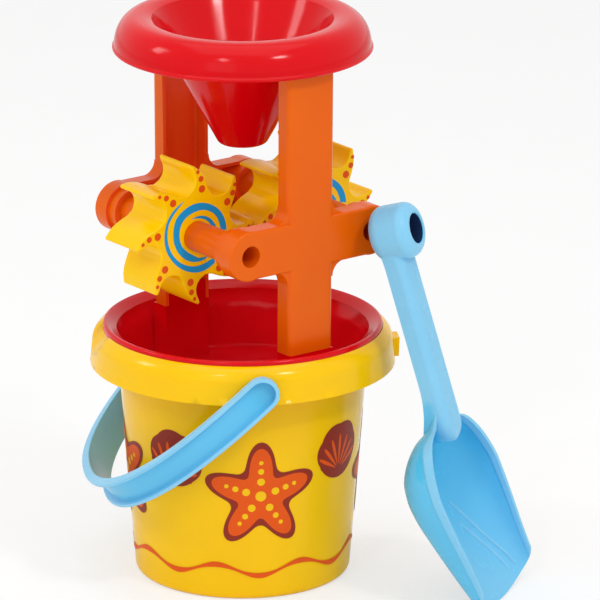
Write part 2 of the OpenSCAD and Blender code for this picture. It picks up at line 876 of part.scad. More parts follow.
module scoop_blade() {
    n = rows * cols;
    last_row = rows - 1;
    last_col = cols - 1;
    function at(side, row, col) = side * n + row * cols + col;
    polyhedron(
        points = [for (grow = [0, scoop_wall], row = [0:last_row], col = [0:last_col])
            blade_point(row, col, grow)],
        faces = concat(
            // Inside of the bowl
            [for (row = [0:rows - 2], col = [0:cols - 2], k = [0, 1])
                k == 0
                    ? [at(0, row, col), at(0, row, col + 1), at(0, row + 1, col + 1)]
                    : [at(0, row, col), at(0, row + 1, col + 1), at(0, row + 1, col)]],
            // Outside of the bowl
            [for (row = [0:rows - 2], col = [0:cols - 2], k = [0, 1])
                k == 0
                    ? [at(1, row, col + 1), at(1, row, col), at(1, row + 1, col + 1)]
                    : [at(1, row + 1, col + 1), at(1, row, col), at(1, row + 1, col)]],
            // Rims at both sides
            [for (row = [0:rows - 2], k = [0, 1])
                k == 0
                    ? [at(1, row, 0), at(0, row, 0), at(0, row + 1, 0)]
                    : [at(1, row, 0), at(0, row + 1, 0), at(1, row + 1, 0)]],
            [for (row = [0:rows - 2], k = [0, 1])
                k == 0
                    ? [at(0, row, last_col), at(1, row, last_col), at(1, row + 1, last_col)]
                    : [at(0, row, last_col), at(1, row + 1, last_col), at(0, row + 1, last_col)]],
            // Edge of the tip
            [for (col = [0:cols - 2], k = [0, 1])
                k == 0
                    ? [at(0, last_row, col), at(0, last_row, col + 1), at(1, last_row, col + 1)]
                    : [at(0, last_row, col), at(1, last_row, col + 1), at(1, last_row, col)]],
            // Back wall, inside and outside, and its top edge
            [for (col = [1:cols - 2]) [at(0, 0, 0), at(0, 0, col + 1), at(0, 0, col)]],
            [for (col = [1:cols - 2]) [at(1, 0, 0), at(1, 0, col), at(1, 0, col + 1)]],
            [
                [at(0, 0, 0), at(1, 0, 0), at(1, 0, last_col)],
                [at(0, 0, 0), at(1, 0, last_col), at(0, 0, last_col)]
            ]
        )
    );
}

module scoop() {
    color(sky)
        translate([axle_x + head_shift, -frame_y - head_stand, scoop_head_z])
            rotate([0, 0, scoop_turn])
                rotate([-scoop_lean, 0, 0])
                    rotate([0, -scoop_tilt, 0])
                        difference() {
                            union() {
                                scoop_head();
                                scoop_grip();
                                scoop_blade();
                            }
                            rotate([90, 0, 0])
                                translate([0, 0, -head_l])
                                    cylinder(r = head_hole_r, h = 2 * head_l);
                        }
}

bucket();
bail_handle();
tray();
frame_front();
frame_rear();
axle_left();
axle_right();
wheel_left();
wheel_right();
funnel();
scoop();
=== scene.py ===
# %% [markdown]
# # A sand wheel toy, dressed for its picture
#
# The toy stands on a table: a yellow bucket with a blue bail handle, a red tray in
# the bucket's mouth, an orange mill on the tray with two paddle wheels, a red
# funnel on top and a blue scoop leaning against it. All of it is injection-moulded
# polypropylene, apart from a few millimetres of printed ink.
#
# The engineering model comes first and stays where it is. Everything below either
# gives one of its pieces a better surface or lays a finer mesh in its place.

# %% Load the frame
import bpy
import bmesh
import math
from mathutils import Matrix, Vector
from mathutils.bvhtree import BVHTree


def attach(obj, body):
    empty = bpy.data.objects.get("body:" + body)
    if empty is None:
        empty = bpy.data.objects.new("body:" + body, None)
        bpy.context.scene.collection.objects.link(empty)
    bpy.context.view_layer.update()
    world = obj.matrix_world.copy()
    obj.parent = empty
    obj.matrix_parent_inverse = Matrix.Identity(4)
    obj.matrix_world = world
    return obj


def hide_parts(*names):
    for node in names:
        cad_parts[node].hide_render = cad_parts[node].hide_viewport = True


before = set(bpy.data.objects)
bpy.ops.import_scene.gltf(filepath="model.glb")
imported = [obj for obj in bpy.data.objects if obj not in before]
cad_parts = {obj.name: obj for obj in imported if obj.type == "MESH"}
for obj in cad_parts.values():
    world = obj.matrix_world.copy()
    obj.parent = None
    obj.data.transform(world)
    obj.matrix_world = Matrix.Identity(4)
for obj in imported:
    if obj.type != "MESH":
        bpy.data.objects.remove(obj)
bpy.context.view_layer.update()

# %% [markdown]
# ## The camera
#
# The picture was taken with a long lens from a little above the toy, turned to its
# left. Four known heights and widths of the toy were matched to the picture to find
# the place of the lens. A long lens far away keeps the bucket's rim and the
# funnel's rim almost parallel, which a close one would not. The shift slides the
# frame sideways, because the toy isn't in the middle of the picture.

# %% Camera
MM = 0.001
CAMERA_PLACE = Vector((-2.5145, -3.3521, 1.4780))
CAMERA_TARGET = Vector((0.0, 0.0, 0.170))
SENSOR_MM, LENS_MM = 36.0, 447.67
SHIFT_RIGHT, SHIFT_UP = 0.0955, -0.0138     # as shares of the picture's width
NEAREST, FARTHEST = 0.5, 40.0               # m from the lens


def put_in_scene(name, data):
    """Makes an object of a mesh, a lens or a lamp, and puts it in the scene."""
    thing = bpy.data.objects.new(name, data)
    bpy.context.scene.collection.objects.link(thing)
    return thing


def aim(thing, place, target):
    """Stands a camera or a lamp at its place and turns it towards its target."""
    thing.location = place
    thing.rotation_mode = "QUATERNION"
    thing.rotation_quaternion = (target - place).to_track_quat("-Z", "Y")


lens = bpy.data.cameras.new("camera")
lens.sensor_width, lens.lens = SENSOR_MM, LENS_MM
lens.shift_x, lens.shift_y = SHIFT_RIGHT, SHIFT_UP
lens.clip_start, lens.clip_end = NEAREST, FARTHEST
camera = put_in_scene("camera", lens)
aim(camera, CAMERA_PLACE, CAMERA_TARGET)
bpy.context.scene.camera = camera
print("camera distance in m:", round((CAMERA_TARGET - CAMERA_PLACE).length, 3))

# %% [markdown]
# ## Small tools
#
# Colours are written as they look on a screen, in sRGB hex. Blender's shaders work
# with linear light, so one function turns one into the other. A second one adds a
# node to any tree, with its settings and its links, so that a whole tree reads as a
# list of what feeds what. The others are a few lines that come back often: points on
# a circle, a smooth curve between two values, and a mesh with one material.

# %% Colour and node helpers
def linear(hex_code):
    """Turns an sRGB hex colour into a linear RGBA tuple."""
    channels = [int(hex_code[i:i + 2], 16) / 255 for i in (1, 3, 5)]
    return tuple(c / 12.92 if c <= 0.04045 else ((c + 0.055) / 1.055) ** 2.4
                 for c in channels) + (1.0,)


def add(tree, kind, feeds=None, **settings):
    """Adds a node, sets its properties, then fills its inputs with values or links.

    A node that is given for an input stands for its own first output.
    """
    node = tree.nodes.new(kind)
    for name, value in settings.items():
        setattr(node, name, value)
    for name, value in (feeds or {}).items():
        if isinstance(value, bpy.types.Node):
            value = value.outputs[0]
        if isinstance(value, bpy.types.NodeSocket):
            tree.links.new(value, node.inputs[name])
        else:
            node.inputs[name].default_value = value
    return node


def empty_tree(block):
    """Gives a material or a world a node tree with nothing in it."""
    block.use_nodes = True
    block.node_tree.nodes.clear()
    return block.node_tree


def give(mesh, material):
    """Leaves a mesh with one material."""
    mesh.materials.clear()
    mesh.materials.append(material)


print("mid grey #808080 is", round(linear("#808080")[0], 3), "in linear light")


# %% Helpers for numbers
def clamp(value):
    """Keeps a number between 0 and 1."""
    return min(1.0, max(0.0, value))


def full_turn(count):
    """The angles of a whole circle, in equal steps."""
    return [2 * math.pi * i / count for i in range(count)]


def polar(r, angle):
    """The point at a distance and an angle from the middle."""
    return r * math.cos(angle), r * math.sin(angle)


def hermite(u, start, start_slope, end, end_slope):
    """The smooth curve from one value to the next that has these slopes at its ends."""
    return ((1 + 2 * u) * (1 - u) ** 2 * start + u * (1 - u) ** 2 * start_slope
            + u * u * (3 - 2 * u) * end + u * u * (u - 1) * end_slope)


print("half way up a smooth step:", hermite(0.5, 0.0, 0.0, 1.0, 0.0))

# %% [markdown]
# ## Moulded polypropylene
#
# The toy's plastic is polypropylene, shot into polished steel moulds. It is a soft,
# waxy plastic: its gloss is broad, not glassy, light goes a millimetre or two into
# it, and its surface has a faint long wave that follows the flow of the melt. The
# pigment is even, but a wide noise keeps large faces from looking like paint.
#
# One function makes all the colours, because the mould's polish and the plastic are
# the same. Only the colour, its deeper tone, the painted light and shade of light that
# bounces inside, and the gloss differ.

# %% The plastic
WAVE_MM = 16.0      # length of the slow wave that the melt leaves in a face
PEEL_MM = 2.6       # size of the orange peel, drawn coarse enough to show
POLISH_MM = 14.0    # how far apart the duller and the glossier places lie
PIGMENT_MM = 60.0   # how far apart the paler and deeper places of the colour lie
WAVE_HIGH, PEEL_HIGH = 0.12 * MM, 0.01 * MM
GLOW, GLOW_DEEP = 0.10, 1.6 * MM    # share of the light that goes in, and how deep
PIT = "#20345C"     # so little light gets into a deep narrow bore that it looks navy


def polypropylene(name, colour, deep, gloss=0.24, shine=0.16, hollow=None):
    """Moulded polypropylene; a vertex attribute says where painted light and shade of bounced
    light is mixed in (1), and where the painted navy shade of a deep bore is (2).
    """
    mat = bpy.data.materials.new("moulded polypropylene, " + name)
    tree = empty_tree(mat)
    place = add(tree, "ShaderNodeTexCoord").outputs["Object"]
    pigment, polish, wave, peel = [
        add(tree, "ShaderNodeTexNoise", {"Vector": place, "Scale": 1000 / size, "Detail": detail})
        for size, detail in ((PIGMENT_MM, 3.0), (POLISH_MM, 2.0), (WAVE_MM, 0.0), (PEEL_MM, 0.0))]
    tone = add(tree, "ShaderNodeMapRange",
               {"Value": pigment, "From Min": 0.35, "From Max": 0.65})
    base = add(tree, "ShaderNodeMix",
               {"Factor": tone, "A": linear(colour), "B": linear(deep)}, data_type="RGBA")
    # Painted light and shade: up to 1 the colour of light that bounced inside is mixed in, from 1
    # to 2 the navy shade of a deep bore.
    if hollow:
        inside = add(tree, "ShaderNodeAttribute", attribute_name="hollow")
        base = add(tree, "ShaderNodeMix",
                   {"Factor": inside.outputs["Fac"], "A": base.outputs["Result"],
                    "B": linear(hollow)}, data_type="RGBA")
        deeper = add(tree, "ShaderNodeMapRange",
                     {"Value": inside.outputs["Fac"], "From Min": 1.0, "From Max": 2.0})
        base = add(tree, "ShaderNodeMix",
                   {"Factor": deeper, "A": base.outputs["Result"], "B": linear(PIT)},
                   data_type="RGBA")
    rough = add(tree, "ShaderNodeMapRange",
                {"Value": polish, "From Min": 0.3, "From Max": 0.7, "To Min": gloss - 0.02,
                 "To Max": gloss + 0.03})
    slow = add(tree, "ShaderNodeBump", {"Height": wave, "Strength": 0.20, "Distance": WAVE_HIGH})
    fine = add(tree, "ShaderNodeBump",
               {"Height": peel, "Strength": 0.05, "Distance": PEEL_HIGH, "Normal": slow})
    # Polypropylene reflects little light straight on, so its colour stays full.
    shader = add(tree, "ShaderNodeBsdfPrincipled",
                 {"Base Color": base.outputs["Result"], "Roughness": rough, "Normal": fine,
                  "IOR": 1.49, "Specular IOR Level": shine, "Subsurface Weight": GLOW,
                  "Subsurface Radius": (1.0, 0.6, 0.4), "Subsurface Scale": GLOW_DEEP})
    add(tree, "ShaderNodeOutputMaterial", {"Surface": shader})
    return mat


# The last colour given to some plastics is painted light and shade: the tone that light bouncing
# in the tray's tub, between the frames, in the bail's channel and in the scoop's bowl gives.
bucket_plastic = polypropylene("bucket yellow", "#FCC800", "#FAC400", gloss=0.14, shine=0.20)
wheel_plastic = polypropylene("wheel yellow", "#FFCF00", "#FDCA00")
mill_plastic = polypropylene("orange", "#EA6603", "#E66002", hollow="#FF6024")
red_plastic = polypropylene("red", "#DC0010", "#D6000C", gloss=0.13, shine=0.18,
                            hollow="#F01426")
scoop_plastic = polypropylene("sky blue", "#8ACEF0", "#84CAEE", gloss=0.26, hollow="#40BEEC")
bail_plastic = polypropylene("bail blue", "#8ED0F2", "#86CCF0", hollow="#60C4EE")
print("six plastics, each with", len(wheel_plastic.node_tree.nodes), "nodes or more")

# %% [markdown]
# ## Soft moulded edges
#
# A steel mould never has a razor edge, and neither has the plastic that comes out
# of it: every corner is rounded by a few tenths of a millimetre, and that thin
# round catches the light as a bright line. The engineering model has sharp corners,
# so each of its pieces is copied, its loose triangles are merged into whole faces,
# and a narrow bevel goes round every corner. The copy then stands in for the piece.

# %% Bevelled copies
DOUBLES = 0.002 * MM            # points closer than this are one
FLAT = math.radians(0.3)        # faces that turn by less than this are one
FACE_WEIGHT = 80                # how much a large face pulls the shading its way


def merged_copy(node, name):
    """A copy of a CAD node's mesh with its doubles merged and its flat faces joined."""
    mesh = bpy.data.meshes.new(name)
    work = bmesh.new()
    work.from_mesh(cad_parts[node].data)
    bmesh.ops.remove_doubles(work, verts=work.verts, dist=DOUBLES)
    bmesh.ops.dissolve_limit(work, angle_limit=FLAT, verts=work.verts, edges=work.edges)
    work.to_mesh(mesh)
    work.free()
    for layer in ("custom_normal", "sharp_face", "sharp_edge"):
        if layer in mesh.attributes:
            mesh.attributes.remove(mesh.attributes[layer])
    return put_in_scene(name, mesh)


def settle(piece):
    """Turns a piece with its modifiers into a plain mesh."""
    bpy.context.view_layer.update()
    graph = bpy.context.evaluated_depsgraph_get()
    mesh = bpy.data.meshes.new_from_object(piece.evaluated_get(graph))
    mesh.name = piece.name
    piece.modifiers.clear()
    piece.data = mesh
    return piece


def weigh_normals(piece, keep_sharp=False):
    """Lets the large faces stay flat in the shading, and settles the piece."""
    normals = piece.modifiers.new("flat faces stay flat", "WEIGHTED_NORMAL")
    normals.weight, normals.keep_sharp = FACE_WEIGHT, keep_sharp
    return settle(piece)


def soften(piece, width_mm, rounds=2, corner=32.0):
    """Rounds every corner of a piece and smooths the shading between them."""
    for face in piece.data.polygons:
        face.use_smooth = True
    bevel = piece.modifiers.new("soft edge", "BEVEL")
    bevel.width = width_mm * MM
    bevel.segments = rounds
    bevel.limit_method = "ANGLE"
    bevel.angle_limit = math.radians(corner)
    bevel.miter_outer = "MITER_ARC"
    return weigh_normals(piece)


def hollow_numbers(piece):
    """One number for every vertex of a piece, which its plastic reads: how much painted light or
    shade it mixes in there.
    """
    return piece.data.attributes.new("hollow", "FLOAT", "POINT").data


def dress(node, material, body, width_mm, rounds=2, corner=32.0):
    """Makes the bevelled stand-in of one CAD node."""
    piece = soften(merged_copy(node, node + "_shell"), width_mm, rounds, corner)
    give(piece.data, material)
    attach(piece, body)
    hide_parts(node)
    give(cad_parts[node].data, material)
    print(piece.name, "has", len(piece.data.polygons), "faces")
    return piece


# The pouring channel's facets meet at up to 50 degrees, and it looks best unbroken.
dress("bucket", bucket_plastic, "bucket", width_mm=0.7, rounds=3, corner=50.0)
tray = dress("tray", red_plastic, "mill", width_mm=0.5)
dress("funnel", red_plastic, "mill", width_mm=0.7, rounds=3)
for node in ("axle_left", "axle_right"):
    dress(node, mill_plastic, "mill", width_mm=0.4)

# %% [markdown]
# Light that gets into the tray bounces from red to red before it comes out, so the
# tub looks fuller than the lip. A number on every vertex says how far below the lip
# it lies, and the plastic mixes in a brighter red there.

# %% The tray's tub
TUB_TOP_Z, TUB_FADE = 149.5 * MM, 6 * MM
tub = hollow_numbers(tray)
for vertex in tray.data.vertices:
    tub[vertex.index].value = clamp((TUB_TOP_Z - vertex.co.z) / TUB_FADE)
print("the tray's tub lies below", round(TUB_TOP_Z / MM, 1), "mm")

# %% [markdown]
# The two frames face each other across the wheels. Light between them bounces from
# orange to orange and gets redder each time, so their inner faces look almost
# vermilion. A vertex counts as inside where its face looks towards the other frame
# or has plastic of its own frame straight in front of it, and the plastic mixes in
# the redder orange there.

# %% The frames
AXLE_Z, AXLE_X = 215.8 * MM, 44.1 * MM
TUBE_R = 9.5 * MM       # the axles' tubes stick out into the light, so they stay as they are
LIFT, FAR = 0.8 * MM, 40 * MM       # where a ray starts off the skin, and how long it is
FACING = 0.6            # how squarely a face has to look at the other frame

for node, inward in (("frame_front", 1), ("frame_rear", -1)):
    shell = dress(node, mill_plastic, "mill", width_mm=0.7, rounds=3)
    skin = BVHTree.FromPolygons([vertex.co for vertex in shell.data.vertices],
                                [face.vertices for face in shell.data.polygons])
    inner = hollow_numbers(shell)
    for vertex in shell.data.vertices:
        start = vertex.co + vertex.normal * LIFT
        faced = skin.ray_cast(start, vertex.normal, FAR)[0] is not None
        from_axle = math.hypot(abs(vertex.co.x) - AXLE_X, vertex.co.z - AXLE_Z)
        inside = faced or vertex.normal.y * inward > FACING
        if inside and from_axle > TUBE_R:
            inner[vertex.index].value = 1.0

# %% [markdown]
# ## The bail handle
#
# The bail is a strap with a raised rim on each edge, so its outside is a long
# channel. It is one moulding, but the channel looks deeper blue: light that gets
# into it bounces from wall to wall and picks up more of the colour each time. The
# copy gets a number on every vertex that says how deep in the channel it lies, and
# the plastic mixes in the deeper blue there.

# %% Bail handle
BAIL_TURN = math.radians(60.0)      # the pivots' line, seen from above
BAIL_DROP = math.radians(43.0)      # how far the bail hangs below level
PIVOT = Vector((0.0, 0.0, 0.137))
STRAP_OUT = 96.6 * MM
BAIL_REACH = 120.5 * MM
ARCH_POWER = 2.3
RIM_WIDTH = 2.3 * MM
STRAP_HALF = 10.0 * MM
CHANNEL_DEEP, SHADE_FADE = 4.6 * MM, 3.0 * MM
SHADE, END_SHADE = 0.85, 0.35       # how deep the blue is, and how much more by the pivots
END_FROM, END_FADE = -4.0, 22.0     # mm from the pivots' line

bail = dress("bail_handle", bail_plastic, "bail", width_mm=0.55, rounds=3)
to_bail = (Matrix.Translation(PIVOT) @ Matrix.Rotation(BAIL_TURN, 4, "Z")
           @ Matrix.Rotation(-BAIL_DROP, 4, "X")).inverted()
deep = hollow_numbers(bail)
channel_points = 0
for vertex in bail.data.vertices:
    p = to_bail @ vertex.co
    reach = (abs(p.x) / STRAP_OUT) ** ARCH_POWER + (max(p.y, 0.0) / BAIL_REACH) ** ARCH_POWER
    below = (1 - reach ** (1 / ARCH_POWER)) * STRAP_OUT
    within = abs(p.z) < STRAP_HALF - RIM_WIDTH * 0.75 and below < CHANNEL_DEEP
    end = END_SHADE * clamp(1 - (p.y / MM - END_FROM) / END_FADE)
    depth = min(1.0, below / SHADE_FADE) * (SHADE + end)
    deep[vertex.index].value = depth if within and below > 0 else 0.0
    channel_points += 1 if within and below > MM else 0
print("vertices in the bail's channel:", channel_points)

# %% [markdown]
# ## The scoop
#
# The scoop is a round head with a hole, a handle that is a channel open at its
# back, and a deep blade. Its blade is a shell whose width and depth change along
# its length, so it is lofted: one section after another is laid between the outer
# and the inner face, and the shares below say how wide and how deep each one is.
# The engineering model has the same blade in flat facets. Here a smooth curve runs
# through the same shares, which rounds the facets without moving the shape.

# %% Sizes of the scoop
HEAD = Vector((47.8, -85.606, 219.0))
SCOOP_TURN, SCOOP_LEAN, SCOOP_TILT = 30.0, 16.628, 1.4
HEAD_R, HEAD_L, HEAD_ROUND, HOLE_R = 16.5, 26.0, 7.0, 8.8
GRIP_W, GRIP_D, GRIP_FRONT, GRIP_ROUND = 22.2, 12.0, 3.4, 5.0
GRIP_END, BLADE_START, BLADE_END = 129.0, 118.0, 228.0
WALL, BLADE_W, BLADE_D = 1.8, 93.8, 30.0
BLADE_SET, RIM_RISE, TIP_BOW, RIM_CUT, BELLY_POWER = 3.6, 14.0, 5.2, 10.0, 3.2
BLADE_TOP = 103.0   # where the rims begin to run up the handle's sides
SHARES = [  # share of the blade's length, then of its width and of its depth there
    (-0.136, 0.229, 0.10), (-0.08, 0.238, 0.12), (-0.035, 0.285, 0.155), (0.0, 0.38, 0.2),
    (0.02, 0.52, 0.33), (0.05, 0.645, 0.5), (0.1, 0.765, 0.68), (0.16, 0.865, 0.84),
    (0.24, 0.95, 0.97), (0.34, 1.0, 1.0), (0.44, 0.985, 0.97), (0.56, 0.955, 0.87),
    (0.68, 0.913, 0.76), (0.8, 0.885, 0.62), (0.9, 0.872, 0.48), (1.0, 0.866, 0.34),
]
WIDTH, DEPTH = 1, 2     # columns of the shares
scoop_place = (Matrix.Translation(HEAD * MM)
               @ Matrix.Rotation(math.radians(SCOOP_TURN), 4, "Z")
               @ Matrix.Rotation(math.radians(-SCOOP_LEAN), 4, "X")
               @ Matrix.Rotation(math.radians(-SCOOP_TILT), 4, "Y")
               @ Matrix.Scale(MM, 4))
print("the scoop leans back by", SCOOP_LEAN, "degrees")


# %% A smooth curve through the shares
def smooth_share(t, column):
    """Value at t of the curve through one column of the shares, without overshoot."""
    xs = [row[0] for row in SHARES]
    ys = [row[column] for row in SHARES]
    steps = [(ys[i + 1] - ys[i]) / (xs[i + 1] - xs[i]) for i in range(len(xs) - 1)]
    slopes = [steps[0]]
    for a, b in zip(steps, steps[1:]):
        slopes.append(0.0 if a * b <= 0 else 2 * a * b / (a + b))
    slopes.append(steps[-1])
    i = max(k for k in range(len(xs) - 1) if xs[k] <= t or k == 0)
    h = xs[i + 1] - xs[i]
    u = clamp((t - xs[i]) / h)
    return hermite(u, ys[i], h * slopes[i], ys[i + 1], h * slopes[i + 1])


def share_at(s):
    """The share of the blade's length that s mm from the head's axis stands for."""
    return (s - BLADE_START) / (BLADE_END - BLADE_START)


def blade_size(share):
    """Half the blade's width outside, and its depth inside, in mm."""
    return BLADE_W / 2 * smooth_share(share, WIDTH), (BLADE_D - WALL) * smooth_share(share, DEPTH)


def belly_curve(x):
    """The section of the bowl, fuller than a circle: its height at a share of its width."""
    return max(0.0, 1 - min(1.0, abs(x)) ** BELLY_POWER) ** (1 / BELLY_POWER)


print("half width and depth half way along, in mm:", [round(v, 1) for v in blade_size(0.5)])

# %% [markdown]
# The blade's two faces are the same formula with the wall added or left out. The
# rim is a bead, thicker than the wall on both sides, as a moulder makes it so that
# the edge doesn't split. It shows as a pale band round the bowl, partly because the
# bead catches the light and partly because the deeper blue below it is painted shade
# that stops at the bead. At the top the two beads run up the handle's sides and die
# away there, which stiffens the neck.

# %% The blade's faces
ROWS, COLS = 56, 51
BEAD = [0.0, 0.4, 1.4, 2.8, 4.0, 4.5, 5.1, 5.8]     # mm below the rim, one per column
STEP = [1.0, 1.0, 1.0, 1.0, 1.0, 0.75, 0.2, 0.0]    # how much of the bead stands there
BEAD_OUT, BEAD_IN = 0.9, 0.8
BEAD_DEPTH = 14.0       # where the bowl is this deep, the bead has its full size
SIDE_COLS, SIDE_BELLY = 15, 0.85    # the side walls' columns reach so far down the bowl
NECK_DROP = 3.4         # how far the rims fall forward where they run up the handle
NECK_POWER = 1.6        # how late they do so
BEAD_LESS, LESS_FROM = 0.7, 0.15    # the bead's loss over the whole length, and where it begins
MOUTH_CUTS = [(0.8, 1.8), (0.3, 12)]    # shares of the rim's cut, and their powers
ROW_BIAS = 1.25         # packs the rows closer at the neck


def rim_at(share):
    """How far back from the scoop's middle plane the rim lies at a share of the length."""
    if share < 0:
        return BLADE_SET - NECK_DROP * min(1.0, share / SHARES[0][0]) ** NECK_POWER
    return BLADE_SET - RIM_RISE * share


def bead_share(share):
    """How much of the bead's full size it has: less at the neck and towards the tip."""
    full = min(1.0, blade_size(share)[1] / BEAD_DEPTH)
    return full * (1 - BEAD_LESS * max(0.0, share - LESS_FROM))


def blade_at(t, col, grow):
    """A point of the blade: t along it, col across it from rim to rim, grow is the wall."""
    middle = COLS // 2
    k = min(col, COLS - 1 - col)
    last = len(BEAD) - 1
    rough_share = share_at(t * (BLADE_END - RIM_CUT - BLADE_TOP) + BLADE_TOP)
    small = bead_share(rough_share)
    below = [b * small / blade_size(rough_share)[1] for b in BEAD]
    if k <= last:
        belly, e = below[k], belly_curve(below[k])
    elif k <= SIDE_COLS:
        belly = below[last] + (SIDE_BELLY - below[last]) * (k - last) / (SIDE_COLS - last)
        e = belly_curve(belly)
    else:
        e = belly_curve(SIDE_BELLY) * (middle - k) / (middle - SIDE_COLS)
        belly = belly_curve(e)
    start = BLADE_TOP + WALL - grow
    cut = sum(part * (1 - belly) ** power for part, power in MOUTH_CUTS)
    end = BLADE_END - TIP_BOW * e * e - RIM_CUT * cut
    s = start + t * (end - start)
    stands = (STEP[k] if k <= last else 0.0) * small
    half, depth = blade_size(share_at(s))
    half += grow - WALL - BEAD_OUT * (small - stands)
    half -= (BEAD_IN + BEAD_OUT) * stands * (grow == 0)
    side = -1 if col < middle else 1
    return Vector((side * half * e, rim_at(share_at(s)) + (depth + grow) * belly, -s))


def blade_mesh():
    """The blade as one closed shell in the scoop's own frame, in millimetres."""
    work = bmesh.new()
    grid = {}
    for side, grow in enumerate((0.0, WALL)):
        for row in range(ROWS):
            t = (row / (ROWS - 1)) ** ROW_BIAS
            for col in range(COLS):
                grid[side, row, col] = work.verts.new(blade_at(t, col, grow))
    for row in range(ROWS - 1):
        for col in range(COLS - 1):
            for side in (0, 1):
                ring = [grid[side, row, col], grid[side, row, col + 1],
                        grid[side, row + 1, col + 1], grid[side, row + 1, col]]
                work.faces.new(ring if side == 0 else ring[::-1])
        for col, flip in ((0, True), (COLS - 1, False)):
            ring = [grid[0, row, col], grid[1, row, col], grid[1, row + 1, col],
                    grid[0, row + 1, col]]
            work.faces.new(ring[::-1] if flip else ring)
    for col in range(COLS - 1):
        work.faces.new([grid[0, ROWS - 1, col], grid[0, ROWS - 1, col + 1],
                        grid[1, ROWS - 1, col + 1], grid[1, ROWS - 1, col]])
    work.faces.new([grid[0, 0, col] for col in range(COLS)][::-1])
    work.faces.new([grid[1, 0, col] for col in range(COLS)])
    work.faces.new([grid[0, 0, 0], grid[0, 0, COLS - 1], grid[1, 0, COLS - 1], grid[1, 0, 0]])
    bmesh.ops.remove_doubles(work, verts=work.verts, dist=1e-4)
    bmesh.ops.recalc_face_normals(work, faces=work.faces)
    return work


def as_object(work, name, place=None):
    """Makes an object of a bmesh, with its place in its mesh."""
    mesh = bpy.data.meshes.new(name)
    if place:
        work.transform(place)
    work.to_mesh(mesh)
    work.free()
    return put_in_scene(name, mesh)


blade = as_object(blade_mesh(), "scoop_blade", scoop_place)
print("blade:", len(blade.data.polygons), "faces")

# %% [markdown]
# The handle is a channel too, like a shoehorn: a front face with rounded edges and
# two side walls, open at the back where nobody sees it. It ends in a round nose
# that overlaps the blade. Towards the blade its walls grow deeper, because that is
# where the scoop would break.

# %% Handle and head
FLARE_FROM, FLARE_TO, FLARE_DEEP = 92.0, BLADE_START + 4, 6.5
NOSE_FROM, NOSE_DROP = GRIP_END - GRIP_W / 2, 4.0
FILLET_TO, FILLET_LONG, FILLET = 21.0, 10.5, 1.5
GRIP_TOP = 10.5         # the handle's upper end, inside the head
CORNER_TURNS = range(0, 105, 15)    # degrees round a quarter circle


def grip_section(s, inset):
    """Points of the handle's section at distance s, from one back edge to the other."""
    nose_r = GRIP_W / 2 - inset
    past = max(0.0, s - NOSE_FROM)
    half = math.sqrt(max(0.0, nose_r * nose_r - past * past))
    drop = 1 - half / nose_r        # the nose's face falls back towards the blade's floor
    half += FILLET * clamp((FILLET_TO - s) / FILLET_LONG) ** 2
    flare = clamp((s - FLARE_FROM) / (FLARE_TO - FLARE_FROM))
    back = GRIP_D - GRIP_FRONT + FLARE_DEEP * flare ** 2
    front = inset - GRIP_FRONT + NOSE_DROP * drop
    corner = max(0.01, min(GRIP_ROUND - inset / 2, half * 0.9))
    line = [(-half, back), (-half, (back + front + corner) / 2)]
    for first, x in ((180, corner - half), (270, half - corner)):
        turns = [math.radians(first + turn) for turn in CORNER_TURNS]
        line += [(x + corner * math.cos(a), front + corner + corner * math.sin(a)) for a in turns]
        if first == 180:
            line.append((0.0, front))
    line += [(half, (back + front + corner) / 2), (half, back)]
    return [Vector((x, y, -s)) for x, y in line]


def strip(work, a, b, flip=False):
    """Lays faces between two rows of vertices."""
    for k in range(len(a) - 1):
        ring = [a[k], a[k + 1], b[k + 1], b[k]]
        work.faces.new(ring[::-1] if flip else ring)


def grip_mesh():
    """The handle as a closed shell, open at its back."""
    work = bmesh.new()
    skins = []
    for inset in (0.0, WALL):
        stops = [GRIP_TOP + (NOSE_FROM - GRIP_TOP) * (k / 32) ** 1.4 for k in range(33)]
        stops += [NOSE_FROM + (GRIP_W / 2 - inset) * math.sin(math.radians(9 * k))
                  for k in range(1, 11)]
        skins.append([[work.verts.new(p) for p in grip_section(s, inset)] for s in stops])
    outer, inner = skins
    for rows, flip in ((outer, False), (inner, True)):
        for a, b in zip(rows, rows[1:]):
            strip(work, a, b, flip)
    for k in (0, len(outer[0]) - 1):
        for i in range(len(outer) - 1):
            work.faces.new([outer[i][k], outer[i + 1][k], inner[i + 1][k], inner[i][k]])
    for k in range(len(outer[0]) - 1):
        work.faces.new([outer[0][k], inner[0][k], inner[0][k + 1], outer[0][k + 1]])
    bmesh.ops.remove_doubles(work, verts=work.verts, dist=2e-3)
    bmesh.ops.recalc_face_normals(work, faces=work.faces)
    return work


MOUTH = [(0.0, 0.8), (0.3, 0.25), (0.9, 0.0)]   # mm out from the bore, mm into the head
HEAD_TURNS = 96


def head_mesh():
    """The head: a thick ring with round edges and a straight hole."""
    work = bmesh.new()
    profile = [(HOLE_R + out, deep - HEAD_L / 2) for out, deep in MOUTH]
    for first, y in ((-90, HEAD_ROUND - HEAD_L / 2), (0, HEAD_L / 2 - HEAD_ROUND)):
        for turn in range(first, first + 99, 9):
            out, along = polar(HEAD_ROUND, math.radians(turn))
            profile.append((HEAD_R - HEAD_ROUND + out, y + along))
    profile += [(HOLE_R + out, HEAD_L / 2 - deep) for out, deep in MOUTH[::-1]]
    rings = [[work.verts.new((r * math.cos(a), y, r * math.sin(a))) for r, y in profile]
             for a in full_turn(HEAD_TURNS)]
    for a, b in zip(rings, rings[1:] + rings[:1]):
        for k in range(len(profile)):
            n = (k + 1) % len(profile)
            work.faces.new([a[k], a[n], b[n], b[k]])
    bmesh.ops.recalc_face_normals(work, faces=work.faces)
    return work


